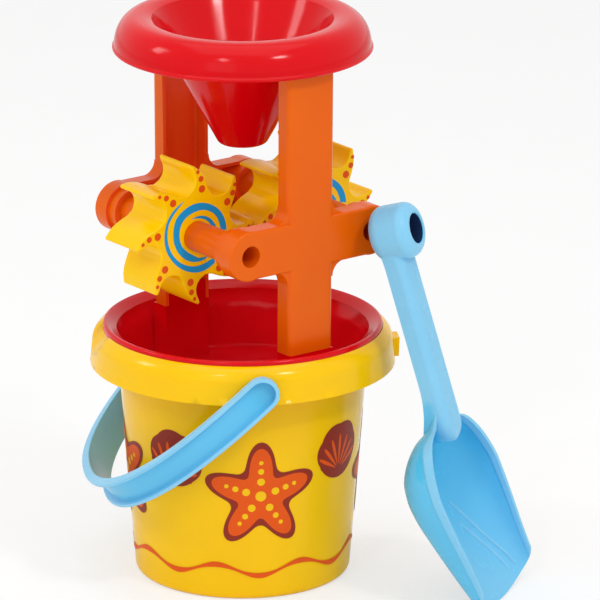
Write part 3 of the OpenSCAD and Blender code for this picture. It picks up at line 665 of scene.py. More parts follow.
grip = as_object(grip_mesh(), "scoop_grip", scoop_place)
head = as_object(head_mesh(), "scoop_head", scoop_place)
print("handle:", len(grip.data.polygons), "faces; head:", len(head.data.polygons), "faces")

# %% [markdown]
# The three forms are joined into one moulding. A Boolean union keeps only the outer
# skin, and a bevel then rounds the seams where the handle meets the head and the
# blade, as the fillets in the mould do.

# %% One moulding
scoop = blade
for other in (grip, head):
    union = scoop.modifiers.new("join", "BOOLEAN")
    union.operation = "UNION"
    union.solver = "EXACT"
    union.object = other
    settle(scoop)
    bpy.data.objects.remove(other)
scoop.name = "scoop_shell"
soften(scoop, width_mm=0.7, rounds=3, corner=38.0)
give(scoop.data, scoop_plastic)

# Painted shade: under its pale rim band the bowl's inside gets a deeper blue painted in
# for light that bounces in it, less towards the open tip; the outer wall gets a weaker one.
RIM_PALE, BAND, BAND_FADE = 0.6, 4.2, 0.8       # mm below the rim
TIP_LESS_SHADE, OUTSIDE_SHADE = 0.75, 0.55
BORE_SLACK, BORE_END = 0.25, 0.5        # mm from the bore's wall, and from its ends
to_scoop = scoop_place.inverted()
deep = hollow_numbers(scoop)
for vertex in scoop.data.vertices:
    p = to_scoop @ vertex.co
    s = -p.z
    share = min(1.0, share_at(s))
    under_rim = p.y - rim_at(share)
    # Painted shade: the head's bore gets the navy of a deep hole that little light gets into.
    if math.hypot(p.x, p.z) < HOLE_R + BORE_SLACK and abs(p.y) < HEAD_L / 2 - BORE_END:
        deep[vertex.index].value = 2.0
    if s < BLADE_TOP or under_rim < RIM_PALE:
        continue
    half, depth = blade_size(share)
    band = clamp((under_rim - BAND * bead_share(share)) / BAND_FADE)
    inside = under_rim < depth * belly_curve(p.x / (half - WALL / 2)) + WALL * 0.45
    # Painted shade: deeper blue in the bowl, less towards the tip, and a weaker one on the outer
    # wall.
    if inside and s > BLADE_START + 1:
        deep[vertex.index].value = band * (1.0 - TIP_LESS_SHADE * share ** 0.8)
    elif not inside:
        deep[vertex.index].value = band * OUTSIDE_SHADE
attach(scoop, "scoop")
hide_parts("scoop")
print("scoop:", len(scoop.data.polygons), "faces")

# %% [markdown]
# ## Ribs in the scoop
#
# Four low ribs stiffen the blade's floor and spread out towards its corners. Each
# follows a line on the floor, so the line's points are worked out first and Geometry
# Nodes sweep a small round section along them. The tree takes the rib's radius as a
# named input and thins both ends, where the cutter ran out of the mould's steel.

# %% A tree that sweeps a rib along a path
def new_tree(name, inputs):
    """A geometry tree with its named inputs, its group input node and their sockets."""
    tree = bpy.data.node_groups.new(name, "GeometryNodeTree")
    tree.interface.new_socket("Geometry", in_out="INPUT", socket_type="NodeSocketGeometry")
    for label, kind, value in inputs:
        socket = tree.interface.new_socket(label, in_out="INPUT",
                                           socket_type="NodeSocket" + kind)
        if value is not None:
            socket.default_value = value
    tree.interface.new_socket("Geometry", in_out="OUTPUT", socket_type="NodeSocketGeometry")
    return tree, add(tree, "NodeGroupInput").outputs


def run_tree(tree, piece, **values):
    """Puts a tree on a piece, sets its inputs by identifier and settles the result."""
    modifier = piece.modifiers.new(tree.name, "NODES")
    modifier.node_group = tree
    for item in tree.interface.items_tree:
        key = item.name.replace(" ", "_").lower()
        if item.item_type == "SOCKET" and item.in_out == "INPUT" and key in values:
            modifier[item.identifier] = values[key]
    return settle(piece)


def coat(tree, geometry, material, smooth=True):
    """Ends a tree: smooth shading where asked for, then the material."""
    if smooth:
        geometry = add(tree, "GeometryNodeSetShadeSmooth", {"Geometry": geometry})
    coated = add(tree, "GeometryNodeSetMaterial", {"Geometry": geometry, "Material": material})
    add(tree, "NodeGroupOutput", {"Geometry": coated})
    print("tree '%s' has %d nodes" % (tree.name, len(tree.nodes)))


rib_tree, rib_in = new_tree("rib along a path", [
    ("Rib radius", "Float", 0.8 * MM), ("Plastic", "Material", None)])
line = add(rib_tree, "GeometryNodeMeshToCurve", {"Mesh": rib_in["Geometry"]})
even = add(rib_tree, "GeometryNodeResampleCurve", {"Curve": line, "Count": 40})
along = add(rib_tree, "GeometryNodeSplineParameter").outputs["Factor"]
ends = add(rib_tree, "ShaderNodeFloatCurve", {"Value": along})
thickness = ends.mapping.curves[0].points       # share of the way, share of the radius
thickness[0].location, thickness[1].location = (0.0, 0.05), (1.0, 0.25)
thickness.new(0.25, 0.9)
thickness.new(0.85, 1.0)
ends.mapping.update()
round_bar = add(rib_tree, "GeometryNodeCurvePrimitiveCircle",
                {"Radius": rib_in["Rib radius"], "Resolution": 10})
swept = add(rib_tree, "GeometryNodeCurveToMesh",
            {"Curve": even, "Profile Curve": round_bar, "Scale": ends, "Fill Caps": True})
plain = add(rib_tree, "GeometryNodeRealizeInstances", {"Geometry": swept})
coat(rib_tree, plain, rib_in["Plastic"])

# %% Lay the ribs on the blade's floor
RIB_R = 1.3 * MM
RIB_SUNK = 0.35     # mm that a rib's line lies in the floor
RIB_STEPS = 6       # between two measured points
RIBS = [  # mm from the middle, mm from the head
    [(17.0, 169.0), (22.0, 181.5), (28.0, 198.0), (32.4, 211.0), (33.4, 220.0)],
    [(12.5, 181.5), (17.0, 189.5), (23.0, 202.5), (25.4, 211.0), (26.4, 221.5)],
]


def on_floor(w, s):
    """The point of the blade's inner face that lies w from the middle, s down."""
    half, depth = blade_size(share_at(s))
    belly = belly_curve(w / (half - WALL - BEAD_OUT))
    return Vector((w, rim_at(share_at(s)) + depth * belly + RIB_SUNK, -s))


def rib_paths():
    """The ribs' lines as a mesh of edges, on both sides of the blade."""
    work = bmesh.new()
    for side in (-1, 1):
        for path in RIBS:
            previous = None
            for (w0, s0), (w1, s1) in zip(path, path[1:]):
                for k in range(RIB_STEPS):
                    w = w0 + (w1 - w0) * k / RIB_STEPS
                    s = s0 + (s1 - s0) * k / RIB_STEPS
                    vertex = work.verts.new(on_floor(side * w, s))
                    if previous:
                        work.edges.new((previous, vertex))
                    previous = vertex
    return work


ribs = as_object(rib_paths(), "scoop_ribs", scoop_place)
run_tree(rib_tree, ribs, rib_radius=RIB_R, plastic=scoop_plastic)
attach(ribs, "scoop")
print("ribs:", len(ribs.data.polygons), "faces")

# %% [markdown]
# ## The paddle wheels
#
# Each wheel is a cup with eight hooked rays: a front plate, a thin wall along the
# outline of the rays, and a hub with a bore, all open at the back so that it can
# leave its mould. Sand that falls from the funnel catches in the hooks and turns the
# wheel. The engineering model's rays are stouter; here the outline goes through
# points that were measured on the picture, ray by ray.
#
# One ray repeats eight times, so only a slice of the wheel is built, with all of its
# faces. Geometry Nodes then turn it round the axle and weld the slices together.

# %% The outline of one ray
BORE_R, HUB_R, HUB_DEEP = 6.44, 9.4, 27.4
WHEEL_DEEP, WHEEL_WALL, PLATE, ROUNDING = 32.0, 1.6, 2.2, 1.1
RIM = 0.45          # radius of the round edge at the open back
RAYS = 8
PITCH = 360.0 / RAYS
RAY = [  # degrees from the ray's axis, mm from the axle
    (-29.0, 26.1), (-24.2, 26.9), (-19.8, 28.2), (-16.4, 30.3), (-12.6, 33.0),
    (-8.6, 36.0), (-4.2, 39.0), (-0.2, 41.2), (1.6, 42.2), (2.8, 42.2), (3.8, 41.2),
    (3.2, 39.2), (1.5, 36.5), (0.8, 33.4), (1.8, 30.6), (4.6, 28.4), (8.6, 27.0),
]
FINE = 4            # steps between two measured points
HUB_STEPS = 9       # faces of the bore and of the hub in one slice


def ray_corner(k):
    """The measured point number k, counted on from ray to ray."""
    angle, r = RAY[k % len(RAY)]
    return Vector((*polar(r, math.radians(angle + PITCH * (k // len(RAY)))), 0.0))


def ray_curve(step):
    """A point of the smooth line through the measured ones."""
    k, u = step // FINE, step % FINE / FINE
    a, b, c, d = (ray_corner(k + j) for j in (-1, 0, 1, 2))
    return 0.5 * (2 * b + (c - a) * u + (2 * a - 5 * b + 4 * c - d) * u * u
                  + (3 * b - a - 3 * c + d) * u ** 3)


def apart(p, a, b):
    """Distance of a point from the line between two others."""
    f = clamp((p - a).dot(b - a) / (b - a).length_squared)
    return (p - a - (b - a) * f).length


STEPS = FINE * len(RAY)
NEAR = 42           # steps each way in which a tight bend is looked for
SLACK_SHARE, SLACK = 0.985, 0.02    # how much nearer than its distance a point may come
line_of_rays = [ray_curve(step) for step in range(-STEPS, 2 * STEPS + 2)]


def inset(d):
    """The slice's outline moved inwards by d, cut where a tight bend would cross itself."""
    moved = []
    for i in range(STEPS, 2 * STEPS + 1):
        way = (line_of_rays[i + 1] - line_of_rays[i - 1]).normalized()
        p = line_of_rays[i] + Vector((-way.y, way.x, 0.0)) * d
        near = line_of_rays[i - NEAR:i + NEAR + 1]
        free = min(apart(p, a, b) for a, b in zip(near, near[1:])) > SLACK_SHARE * d - SLACK
        moved.append(p if free else None)
    kept = [i for i, p in enumerate(moved) if p]
    for a, b in zip(kept, kept[1:]):
        for i in range(a + 1, b):
            moved[i] = moved[a].lerp(moved[b], (i - a) / (b - a))
    return moved


print("the rays reach", round(max(p.length for p in line_of_rays), 2), "mm from the axle")


# %% One slice with all of its faces
def slice_mesh():
    """A slice of a wheel, its plate at z = 0 and its open back at negative z."""
    fine = [math.radians(turn) for turn in range(0, 91, 15)]
    rough = [math.radians(turn) for turn in range(0, 91, 30)]
    # The wall's section: mm in from the outline, then height.
    course = [(ROUNDING * (1 - math.sin(a)), ROUNDING * (math.cos(a) - 1)) for a in fine]
    course += [(RIM * (1 - math.cos(a)), RIM * (1 - math.sin(a)) - WHEEL_DEEP) for a in rough]
    course += [(WHEEL_WALL - RIM * (1 - math.sin(a)), RIM * (1 - math.cos(a)) - WHEEL_DEEP)
               for a in rough]
    course += [(WHEEL_WALL, -PLATE)]
    work = bmesh.new()
    loops = [[work.verts.new((p.x, p.y, z)) for p in inset(d)] for d, z in course]

    def arc(r, z):
        turns = [RAY[0][0] + PITCH * k / HUB_STEPS for k in range(HUB_STEPS + 1)]
        return [work.verts.new((*polar(r, math.radians(turn)), z)) for turn in turns]

    def wall(a, b):
        for i in range(len(a) - 1):
            work.faces.new([a[i], b[i], b[i + 1], a[i + 1]])

    for a, b in zip(loops, loops[1:]):
        wall(a, b)
    bore, bore_end = arc(BORE_R, 0.0), arc(BORE_R, -HUB_DEEP)
    hub, hub_end = arc(HUB_R, -PLATE), arc(HUB_R, -HUB_DEEP)
    work.faces.new(loops[0] + bore[::-1])
    work.faces.new(loops[-1][::-1] + hub)
    wall(hub, hub_end)
    wall(hub_end, bore_end)
    wall(bore_end, bore)
    work.transform(Matrix.Scale(MM, 4))
    return work


# %% A tree that turns slices round an axle
wheel_tree, wheel_in = new_tree("slices round an axle", [
    ("Rays", "Int", RAYS), ("Turn", "Float", 0.0), ("Plastic", "Material", None)])
spots = add(wheel_tree, "GeometryNodeMeshLine",
            {"Count": wheel_in["Rays"], "Offset": (0.0, 0.0, 0.0)})
number = add(wheel_tree, "GeometryNodeInputIndex").outputs["Index"]
pitch = add(wheel_tree, "ShaderNodeMath",
            {0: 2 * math.pi, 1: wheel_in["Rays"]}, operation="DIVIDE")
angle = add(wheel_tree, "ShaderNodeMath",
            {0: number, 1: pitch, 2: wheel_in["Turn"]}, operation="MULTIPLY_ADD")
spin = add(wheel_tree, "ShaderNodeCombineXYZ", {"Z": angle})
slices = add(wheel_tree, "GeometryNodeInstanceOnPoints",
             {"Points": spots, "Instance": wheel_in["Geometry"], "Rotation": spin})
plain = add(wheel_tree, "GeometryNodeRealizeInstances", {"Geometry": slices})
welded = add(wheel_tree, "GeometryNodeMergeByDistance", {"Geometry": plain, "Distance": DOUBLES})
coat(wheel_tree, welded, wheel_in["Plastic"])

# %% The two wheels
WHEELS = [("wheel_left", -1, 0.0), ("wheel_right", 1, 3.0)]     # side, turn in degrees
PLATE_Y, CREASE = -13.7 * MM, math.radians(35)


def on_axle(side, y):
    """Takes a drawing in the plane of x and y to a wheel's axle, facing the front."""
    return (Matrix.Translation((side * AXLE_X, y, AXLE_Z))
            @ Matrix.Rotation(math.radians(90), 4, "X"))


for node, side, turn in WHEELS:
    wheel = as_object(slice_mesh(), node + "_shell")
    run_tree(wheel_tree, wheel, rays=RAYS, turn=math.radians(turn), plastic=wheel_plastic)
    wheel.data.transform(on_axle(side, PLATE_Y))
    work = bmesh.new()
    work.from_mesh(wheel.data)
    bmesh.ops.recalc_face_normals(work, faces=work.faces)
    loose = sum(1 for edge in work.edges if len(edge.link_faces) != 2)
    work.to_mesh(wheel.data)
    work.free()
    wheel.data.set_sharp_from_angle(angle=CREASE)
    weigh_normals(wheel, keep_sharp=True)
    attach(wheel, node)
    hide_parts(node)
    give(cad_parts[node].data, wheel_plastic)
    print(wheel.name, "has", len(wheel.data.polygons), "faces,", loose, "open edges")

# %% [markdown]
# ## Ink
#
# The wheels and the bucket are printed. A soft silicone pad picks the ink up from a
# plate and presses it onto the curved plastic, one colour after another. The ink
# film is a few hundredths of a millimetre thick, flatter and a little more matt than
# the plastic, and its edges are crisp. It is modelled as thin shapes that lie just
# on the surface, because a drawn edge stays sharp at any distance.

# %% The inks
GRAIN_MM = 1.5          # how far apart the ink dried thicker and thinner
THIN = 0.86             # how much darker it looks where it is thin
INK_ROUGH, INK_UNEVEN = 0.42, 0.06


def ink(name, colour):
    """Pad printing ink: an opaque film with a faint grain where it dried unevenly."""
    mat = bpy.data.materials.new("pad printing ink, " + name)
    tree = empty_tree(mat)
    place = add(tree, "ShaderNodeTexCoord").outputs["Object"]
    grain = add(tree, "ShaderNodeTexNoise",
                {"Vector": place, "Scale": 1000 / GRAIN_MM, "Detail": 3.0})
    dark = tuple(THIN * c for c in linear(colour)[:3]) + (1.0,)
    tint = add(tree, "ShaderNodeMix",
               {"Factor": grain, "A": linear(colour), "B": dark}, data_type="RGBA")
    dull = add(tree, "ShaderNodeMapRange",
               {"Value": grain, "To Min": INK_ROUGH - INK_UNEVEN,
                "To Max": INK_ROUGH + INK_UNEVEN})
    shader = add(tree, "ShaderNodeBsdfPrincipled",
                 {"Base Color": tint.outputs["Result"], "Roughness": dull, "IOR": 1.5,
                  "Specular IOR Level": 0.16})
    add(tree, "ShaderNodeOutputMaterial", {"Surface": shader})
    return mat


brown_ink = ink("brown", "#963020")
orange_ink = ink("orange", "#EC5A12")
yellow_ink = ink("yellow", "#FCC810")
blue_ink = ink("blue", "#18A0E0")
dot_ink = ink("orange red", "#E65414")
print("inks: brown, orange, yellow, blue, orange red")

# %% [markdown]
# ## Dots and rings on the wheels
#
# Three dots run out along each ray of a wheel and get smaller towards its tip. That
# is a shape repeated by a rule: the same three places, once for each of the eight
# rays. Geometry Nodes put one disc on every corner of an eight-sided ring, for each
# of the three rings, and turn each ring by its own lead.

# %% A tree that rings a wheel with dots
FACE_Y = -13.75 * MM
DOT_SIDES = 28
DOT_RINGS = [  # mm from the axle, lead in degrees, mm across
    (28.0, -8.6, 4.6), (34.0, -6.0, 3.6), (38.3, -1.9, 2.4),
]

dot_tree, dot_in = new_tree("dots on a wheel", [
    ("Rays", "Int", RAYS), ("Turn", "Float", 0.0), ("Ink", "Material", None)])
joined = add(dot_tree, "GeometryNodeJoinGeometry")
for ring_mm, lead, dot_mm in DOT_RINGS:
    corners = add(dot_tree, "GeometryNodeMeshCircle",
                  {"Vertices": dot_in["Rays"], "Radius": ring_mm * MM})
    disc = add(dot_tree, "GeometryNodeMeshCircle",
               {"Vertices": DOT_SIDES, "Radius": dot_mm / 2 * MM}, fill_type="TRIANGLE_FAN")
    dots = add(dot_tree, "GeometryNodeInstanceOnPoints", {"Points": corners, "Instance": disc})
    led = add(dot_tree, "ShaderNodeMath",
              {0: dot_in["Turn"], 1: math.radians(lead)}, operation="ADD")
    spin = add(dot_tree, "ShaderNodeCombineXYZ", {"Z": led})
    turned = add(dot_tree, "GeometryNodeTransform", {"Geometry": dots, "Rotation": spin})
    dot_tree.links.new(turned.outputs["Geometry"], joined.inputs["Geometry"])
plain = add(dot_tree, "GeometryNodeRealizeInstances", {"Geometry": joined})
coat(dot_tree, plain, dot_in["Ink"], smooth=False)

# %% [markdown]
# Inside the dots three blue arcs curl round the hub, each broad in its middle and
# narrow where it ends, like a spiral of water. Every arc is a ribbon between an outer
# and an inner curve, and both were measured: degrees round the axle, then mm from it.

# %% The blue arcs
ARC_STEPS = 72
ARCS = [
    ([(111, 24.0), (125, 24.2), (141, 24.3), (156, 23.9), (172, 23.1), (192, 22.3),
      (215, 21.3), (243, 21.3), (264, 22.1), (282, 22.9), (305, 23.2)],
     [(111, 23.8), (125, 22.7), (141, 22.3), (154, 22.1), (170, 21.0), (195, 19.6),
      (218, 18.6), (244, 18.2), (263, 18.4), (297, 19.0), (312, 19.9)]),
    ([(-1, 22.0), (8, 21.9), (25, 21.5), (46, 20.7), (64, 20.0), (80, 19.7), (97, 19.5),
      (119, 19.2), (140, 19.0), (158, 17.6), (179, 16.4), (206, 15.4), (231, 15.2),
      (261, 15.7), (287, 16.4), (303, 16.8)],
     [(1, 17.7), (14, 17.4), (33, 17.2), (52, 16.4), (74, 15.5), (96, 14.5), (121, 14.1),
      (144, 13.5), (168, 12.3), (195, 11.4), (227, 10.8), (250, 11.1)]),
    ([(5, 15.2), (19, 14.4), (37, 13.6), (63, 12.4), (87, 11.6), (110, 10.9)],
     [(13, 11.8), (28, 11.4), (49, 10.9), (74, 10.4), (98, 10.6)]),
]


def on_curve(points, share):
    """Angle and radius at a share of the way from a curve's first angle to its last."""
    angle = points[0][0] + (points[-1][0] - points[0][0]) * share
    k = max(i for i in range(len(points) - 1) if points[i][0] <= angle or i == 0)
    (a0, r0), (a1, r1) = points[k], points[k + 1]
    before, after = points[max(k - 1, 0)], points[min(k + 2, len(points) - 1)]
    u = (angle - a0) / (a1 - a0)
    m0 = (r1 - before[1]) / (a1 - before[0]) * (a1 - a0)
    m1 = (after[1] - r0) / (after[0] - a0) * (a1 - a0)
    return angle, hermite(u, r0, m0, r1, m1)


def arc_mesh(turn):
    """The three ribbons in the wheel's plane, x to the right and y up."""
    work = bmesh.new()
    for outer, inner in ARCS:
        rows = []
        for i in range(ARC_STEPS + 1):
            (a, r), (b, s) = (on_curve(edge, i / ARC_STEPS) for edge in (outer, inner))
            row = []
            for f in (0.0, 0.5, 1.0):
                angle, radius = math.radians(a + (b - a) * f + turn), (r + (s - r) * f) * MM
                row.append(work.verts.new((*polar(radius, angle), 0)))
            rows.append(row)
        for low, high in zip(rows, rows[1:]):
            strip(work, low, high)
    bmesh.ops.recalc_face_normals(work, faces=work.faces)
    if sum(f.normal.z * f.calc_area() for f in work.faces) < 0:
        bmesh.ops.reverse_faces(work, faces=work.faces)
    return work


for node, side, turn in WHEELS:
    place = on_axle(side, FACE_Y)
    dots = as_object(bmesh.new(), node + "_dots")
    run_tree(dot_tree, dots, rays=RAYS, turn=math.radians(turn), ink=dot_ink)
    dots.data.transform(place)
    arcs = as_object(arc_mesh(turn), node + "_arcs", place)
    arcs.data.materials.append(blue_ink)
    for piece in (dots, arcs):
        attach(piece, node)
    print(node, "print:", len(dots.data.polygons), "faces of dots,",
          len(arcs.data.polygons), "of arcs")

# %% [markdown]
# ## The beach print on the bucket
#
# Large friendly motifs go round the bucket in brown and orange. The design here is
# a generic beach one: big starfish with a brown outline, scallop shells between
# them, and a wave below. Each colour is a separate pass, as it is on the machine.
#
# A motif is drawn flat first. Then a Geometry Nodes tree repeats it along a line as
# long as the bucket's girth and bends that line round the wall, so the drawing
# follows the cone. Bending needs small faces, so every shape is a fan of rings.

# %% Flat motifs
WALL_FOOT, WALL_TOP, WALL_TOP_Z = 63.6, 73.4, 128.7     # the wall's radii, and its height
GIRTH_R = 68.0          # the radius for which the motifs are drawn
ARM_POWER = 1.25        # how slender the starfish's arms are
LOBE = 0.07             # how far the shell's lobes stand out
HINGE_DOWN = 8          # mm from the shell's middle to the point where its ribs meet
STAR_POINTS, SHELL_POINTS, PETAL_POINTS, DOT_POINTS = 150, 126, 28, 24


def rings_of(work, outline, count=9):
    """Fills a closed outline, given as points round its middle, with rings of faces."""
    cx = sum(p[0] for p in outline) / len(outline)
    cy = sum(p[1] for p in outline) / len(outline)
    middle = work.verts.new((cx, cy, 0))
    previous = None
    for k in range(1, count + 1):
        f = k / count
        ring = [work.verts.new((cx + (x - cx) * f, cy + (y - cy) * f, 0)) for x, y in outline]
        for i in range(len(ring)):
            n = (i + 1) % len(ring)
            if previous is None:
                work.faces.new([middle, ring[i], ring[n]])
            else:
                work.faces.new([previous[i], ring[i], ring[n], previous[n]])
        previous = ring


def star(size, valley, grow=0.0):
    """Outline of a starfish with five round arms."""
    points = []
    for a in full_turn(STAR_POINTS):
        arm = (0.5 + 0.5 * math.cos(5 * (a - math.pi / 2))) ** ARM_POWER
        points.append(polar(valley + (size - valley) * arm + grow, a))
    return points


def dot(x, y, r):
    """Outline of a round dot."""
    return [(x + r * math.cos(a), y + r * math.sin(a)) for a in full_turn(DOT_POINTS)]


def shell(size, grow=0.0):
    """Outline of a scallop shell: seven lobes over a narrow hinge."""
    points = []
    for a in full_turn(SHELL_POINTS):
        up = math.cos(a - math.pi / 2)
        lobes = 1 + LOBE * abs(math.sin(3.5 * (a - math.pi / 2))) if up > -0.35 else 1.0
        points.append(polar(size * lobes * (0.80 + 0.20 * up) + grow, a))
    return points


def petal(angle, start, end, broad):
    """Outline of a tapering rib of the shell."""
    side = (-math.sin(angle), math.cos(angle))
    points = []
    for a in full_turn(PETAL_POINTS):
        f = 0.5 + 0.5 * math.cos(a)
        r = start + (end - start) * f
        w = broad * math.sin(a) * (0.35 + 0.65 * f)
        points.append((r * math.cos(angle) + w * side[0],
                       r * math.sin(angle) + w * side[1] - HINGE_DOWN))
    return points


def motif(shapes, count=9):
    """A flat mesh of several outlines."""
    work = bmesh.new()
    for outline in shapes:
        rings_of(work, outline, count)
    for vertex in work.verts:
        vertex.co *= MM
    return work


star_dots = [dot(0, 0, 3.2)]
for turn in full_turn(5):
    star_dots += [dot(*polar(reach, math.pi / 2 + turn), r)
                  for reach, r in ((9.0, 2.3), (15.5, 1.8), (21.0, 1.3))]
shell_ribs = [petal(math.pi / 2 + math.radians(20 * k), 3.0, 22.0 - 0.9 * abs(k), 1.5)
              for k in range(-3, 4)]
print("motifs:", len(star_dots), "dots on a starfish,", len(shell_ribs), "ribs on a shell")

# %% A tree that wraps a motif round the bucket
wrap_tree, wrap_in = new_tree("wrap round the bucket", [
    ("Count", "Int", 4), ("First", "Float", 0.0), ("Height", "Float", 60 * MM),
    ("Turn", "Float", 0.0), ("Proud", "Float", 0.06 * MM), ("Ink", "Material", None)])
girth = 2 * math.pi * GIRTH_R * MM
step = add(wrap_tree, "ShaderNodeMath", {0: girth, 1: wrap_in["Count"]}, operation="DIVIDE")
offset = add(wrap_tree, "ShaderNodeCombineXYZ", {"X": step})
start = add(wrap_tree, "ShaderNodeMath",
            {0: wrap_in["First"], 1: GIRTH_R * MM}, operation="MULTIPLY")
origin = add(wrap_tree, "ShaderNodeCombineXYZ", {"X": start, "Y": wrap_in["Height"]})
row = add(wrap_tree, "GeometryNodeMeshLine",
          {"Count": wrap_in["Count"], "Start Location": origin, "Offset": offset})
number = add(wrap_tree, "GeometryNodeInputIndex").outputs["Index"]
odd = add(wrap_tree, "ShaderNodeMath", {0: number, 1: 2.0}, operation="MODULO")
lean = add(wrap_tree, "ShaderNodeMath", {0: odd, 1: wrap_in["Turn"]}, operation="MULTIPLY")
tilt = add(wrap_tree, "ShaderNodeCombineXYZ", {"Z": lean})
copies = add(wrap_tree, "GeometryNodeInstanceOnPoints",
             {"Points": row, "Instance": wrap_in["Geometry"], "Rotation": tilt})
plain = add(wrap_tree, "GeometryNodeRealizeInstances", {"Geometry": copies})
flat = add(wrap_tree, "ShaderNodeSeparateXYZ",
           {"Vector": add(wrap_tree, "GeometryNodeInputPosition").outputs["Position"]})
angle = add(wrap_tree, "ShaderNodeMath",
            {0: flat.outputs["X"], 1: GIRTH_R * MM}, operation="DIVIDE")
slope = add(wrap_tree, "ShaderNodeMath",
            {0: flat.outputs["Y"], 1: (WALL_TOP - WALL_FOOT) / WALL_TOP_Z, 2: WALL_FOOT * MM},
            operation="MULTIPLY_ADD")
radius = add(wrap_tree, "ShaderNodeMath", {0: slope, 1: wrap_in["Proud"]}, operation="ADD")
x, y = [add(wrap_tree, "ShaderNodeMath",
            {0: radius, 1: add(wrap_tree, "ShaderNodeMath", {0: angle}, operation=part)},
            operation="MULTIPLY") for part in ("COSINE", "SINE")]
bent = add(wrap_tree, "ShaderNodeCombineXYZ", {"X": x, "Y": y, "Z": flat.outputs["Y"]})
moved = add(wrap_tree, "GeometryNodeSetPosition", {"Geometry": plain, "Position": bent})
coat(wrap_tree, moved, wrap_in["Ink"])

# %% Print the bucket, one colour after another
WAVES, WAVE_STEPS = 8, 40
BAND_HIGH, BAND_THICK = 3.4, 3.4    # mm that the band swings each way, and its thickness


def wave_mesh():
    """One wave of the band, as a strip that is an eighth of the girth long."""
    work = bmesh.new()
    length = 2 * math.pi * GIRTH_R / WAVES
    rows = []
    for i in range(WAVE_STEPS + 1):
        f = i / WAVE_STEPS
        mid = BAND_HIGH * math.cos(2 * math.pi * f)
        broad = BAND_THICK * (0.75 + 0.25 * math.cos(4 * math.pi * f))
        rows.append([work.verts.new(((f - 0.5) * length * MM, (mid + side * broad / 2) * MM, 0))
                     for side in (1, 0, -1)])
    for a, b in zip(rows, rows[1:]):
        strip(work, a, b)
    return work


# How many go round, where the first is, its height in mm, and how every other one leans.
STARS = (4, math.radians(-118.0), 66.0, 0.30)
SHELLS = (4, math.radians(-73.0), 82.0, -0.35)
BAND_ROW = (WAVES, math.radians(-118.0), 19.0, 0.0)
PASSES = [  # the last number says how many mm the ink stands proud
    ("starfish_outline", motif([star(31.0, 15.5, 3.0)]), STARS, 0.05, brown_ink),
    ("starfish", motif([star(30.0, 14.0)]), STARS, 0.09, orange_ink),
    ("starfish_dots", motif(star_dots, 2), STARS, 0.13, yellow_ink),
    ("shell_outline", motif([shell(19.0, 1.6)]), SHELLS, 0.05, brown_ink),
    ("shell_ribs", motif(shell_ribs, 4), SHELLS, 0.09, orange_ink),
    ("wave_band", wave_mesh(), BAND_ROW, 0.05, orange_ink),
]
for name, work, (count, first, height, turn), proud, colour in PASSES:
    piece = as_object(work, "print_" + name)
    run_tree(wrap_tree, piece, count=count, first=first, height=height * MM, turn=turn,
             proud=proud * MM, ink=colour)
    outward = sum(f.normal.x * f.center.x + f.normal.y * f.center.y
                  for f in piece.data.polygons)
    if outward < 0:
        piece.data.flip_normals()
    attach(piece, "bucket")
    print(piece.name, "has", len(piece.data.polygons), "faces")

# %% [markdown]
# ## Table and light
#
# The toy stands on a plain pale table under soft studio light. The table is a large
# flat sheet. For the camera and for reflections the surroundings are white; for the
# light that falls on the toy they are dimmer, so its colours stay full. The table
# keeps the toy's shadow.

# %% The table
TABLE_HALF = 6.0        # m from the toy to the table's edge
MOTTLE_MM = 100 / 3     # how far apart the whiter and the greyer places lie
PLAIN_WHITE = 0.6       # share of what the camera sees of the table that has no shadow

floor_work = bmesh.new()
bmesh.ops.create_grid(floor_work, x_segments=4, y_segments=4, size=TABLE_HALF)
floor = as_object(floor_work, "table_top")
paint = bpy.data.materials.new("matt white table top")
tree = empty_tree(paint)
place = add(tree, "ShaderNodeTexCoord").outputs["Object"]
mottle = add(tree, "ShaderNodeTexNoise",
             {"Vector": place, "Scale": 1000 / MOTTLE_MM, "Detail": 2.0})
shade = add(tree, "ShaderNodeMix",
            {"Factor": mottle, "A": linear("#FFFFFF"), "B": linear("#FBFBFA")}, data_type="RGBA")
sheet = add(tree, "ShaderNodeBsdfPrincipled",
            {"Base Color": shade.outputs["Result"], "Roughness": 0.75})
bright = add(tree, "ShaderNodeEmission", {"Color": (1, 1, 1, 1), "Strength": 1.0})
looked_at = add(tree, "ShaderNodeMath",
                {0: add(tree, "ShaderNodeLightPath").outputs["Is Camera Ray"], 1: PLAIN_WHITE},
                operation="MULTIPLY")
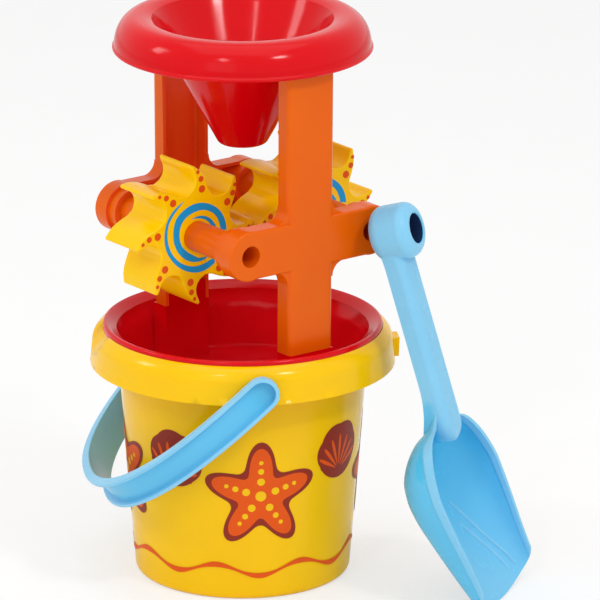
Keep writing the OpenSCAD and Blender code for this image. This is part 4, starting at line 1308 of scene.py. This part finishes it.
table = add(tree, "ShaderNodeMixShader", {"Fac": looked_at, 1: sheet, 2: bright})
add(tree, "ShaderNodeOutputMaterial", {"Surface": table})
floor.data.materials.append(paint)
print("table", round(floor.dimensions.x, 1), "m wide")

# %% The surroundings
LOOKED_AT, LIGHTING = 1.0, 0.58     # how bright the surroundings look, and how they light

world = bpy.data.worlds.new("studio")
bpy.context.scene.world = world
tree = empty_tree(world)
rays = add(tree, "ShaderNodeLightPath")
seen = rays.outputs["Is Camera Ray"]
for kind in ("Is Transmission Ray", "Is Glossy Ray"):
    seen = add(tree, "ShaderNodeMath", {0: seen, 1: rays.outputs[kind]}, operation="MAXIMUM")
dim, white = [add(tree, "ShaderNodeBackground", {"Color": (1, 1, 1, 1), "Strength": strength})
              for strength in (LIGHTING, LOOKED_AT)]
either = add(tree, "ShaderNodeMixShader", {"Fac": seen, 1: dim, 2: white})
add(tree, "ShaderNodeOutputWorld", {"Surface": either})
print("world:", len(tree.nodes), "nodes")

# %% [markdown]
# A very large soft box overhead lights the table and the tops, and a dim one at the
# left keeps the colour of the shaded sides. Three windows are smaller and brighter.
# They stand where the bright marks in the picture's funnel point to: a mirror held
# at each mark would show the window. They draw the slender white lines that tell
# how glossy the plastic is.

# %% Soft boxes
TOY_MIDDLE = Vector((0.0, 0.0, 0.15))
LAMPS = [  # place and size in m, then watts
    ("top", (-0.1, -0.1, 2.2), (2.0, 2.0), 13),
    ("left", (-1.8, -1.2, 0.9), (1.0, 1.0), 2),
    ("window right", (0.08, -1.63, 1.80), (0.34, 0.18), 11),
    ("window left", (-1.45, -0.95, 1.68), (0.20, 0.40), 4),
    ("window back", (-1.55, 1.10, 1.40), (0.40, 0.6), 7),
]
for name, place, size, watts in LAMPS:
    glow = bpy.data.lights.new(name, "AREA")
    glow.shape = "RECTANGLE"
    glow.size, glow.size_y = size
    glow.energy = watts
    aim(put_in_scene(name, glow), Vector(place), TOY_MIDDLE)
bpy.context.scene.view_settings.view_transform = "Standard"
print("lamps:", [name for name, place, size, watts in LAMPS])
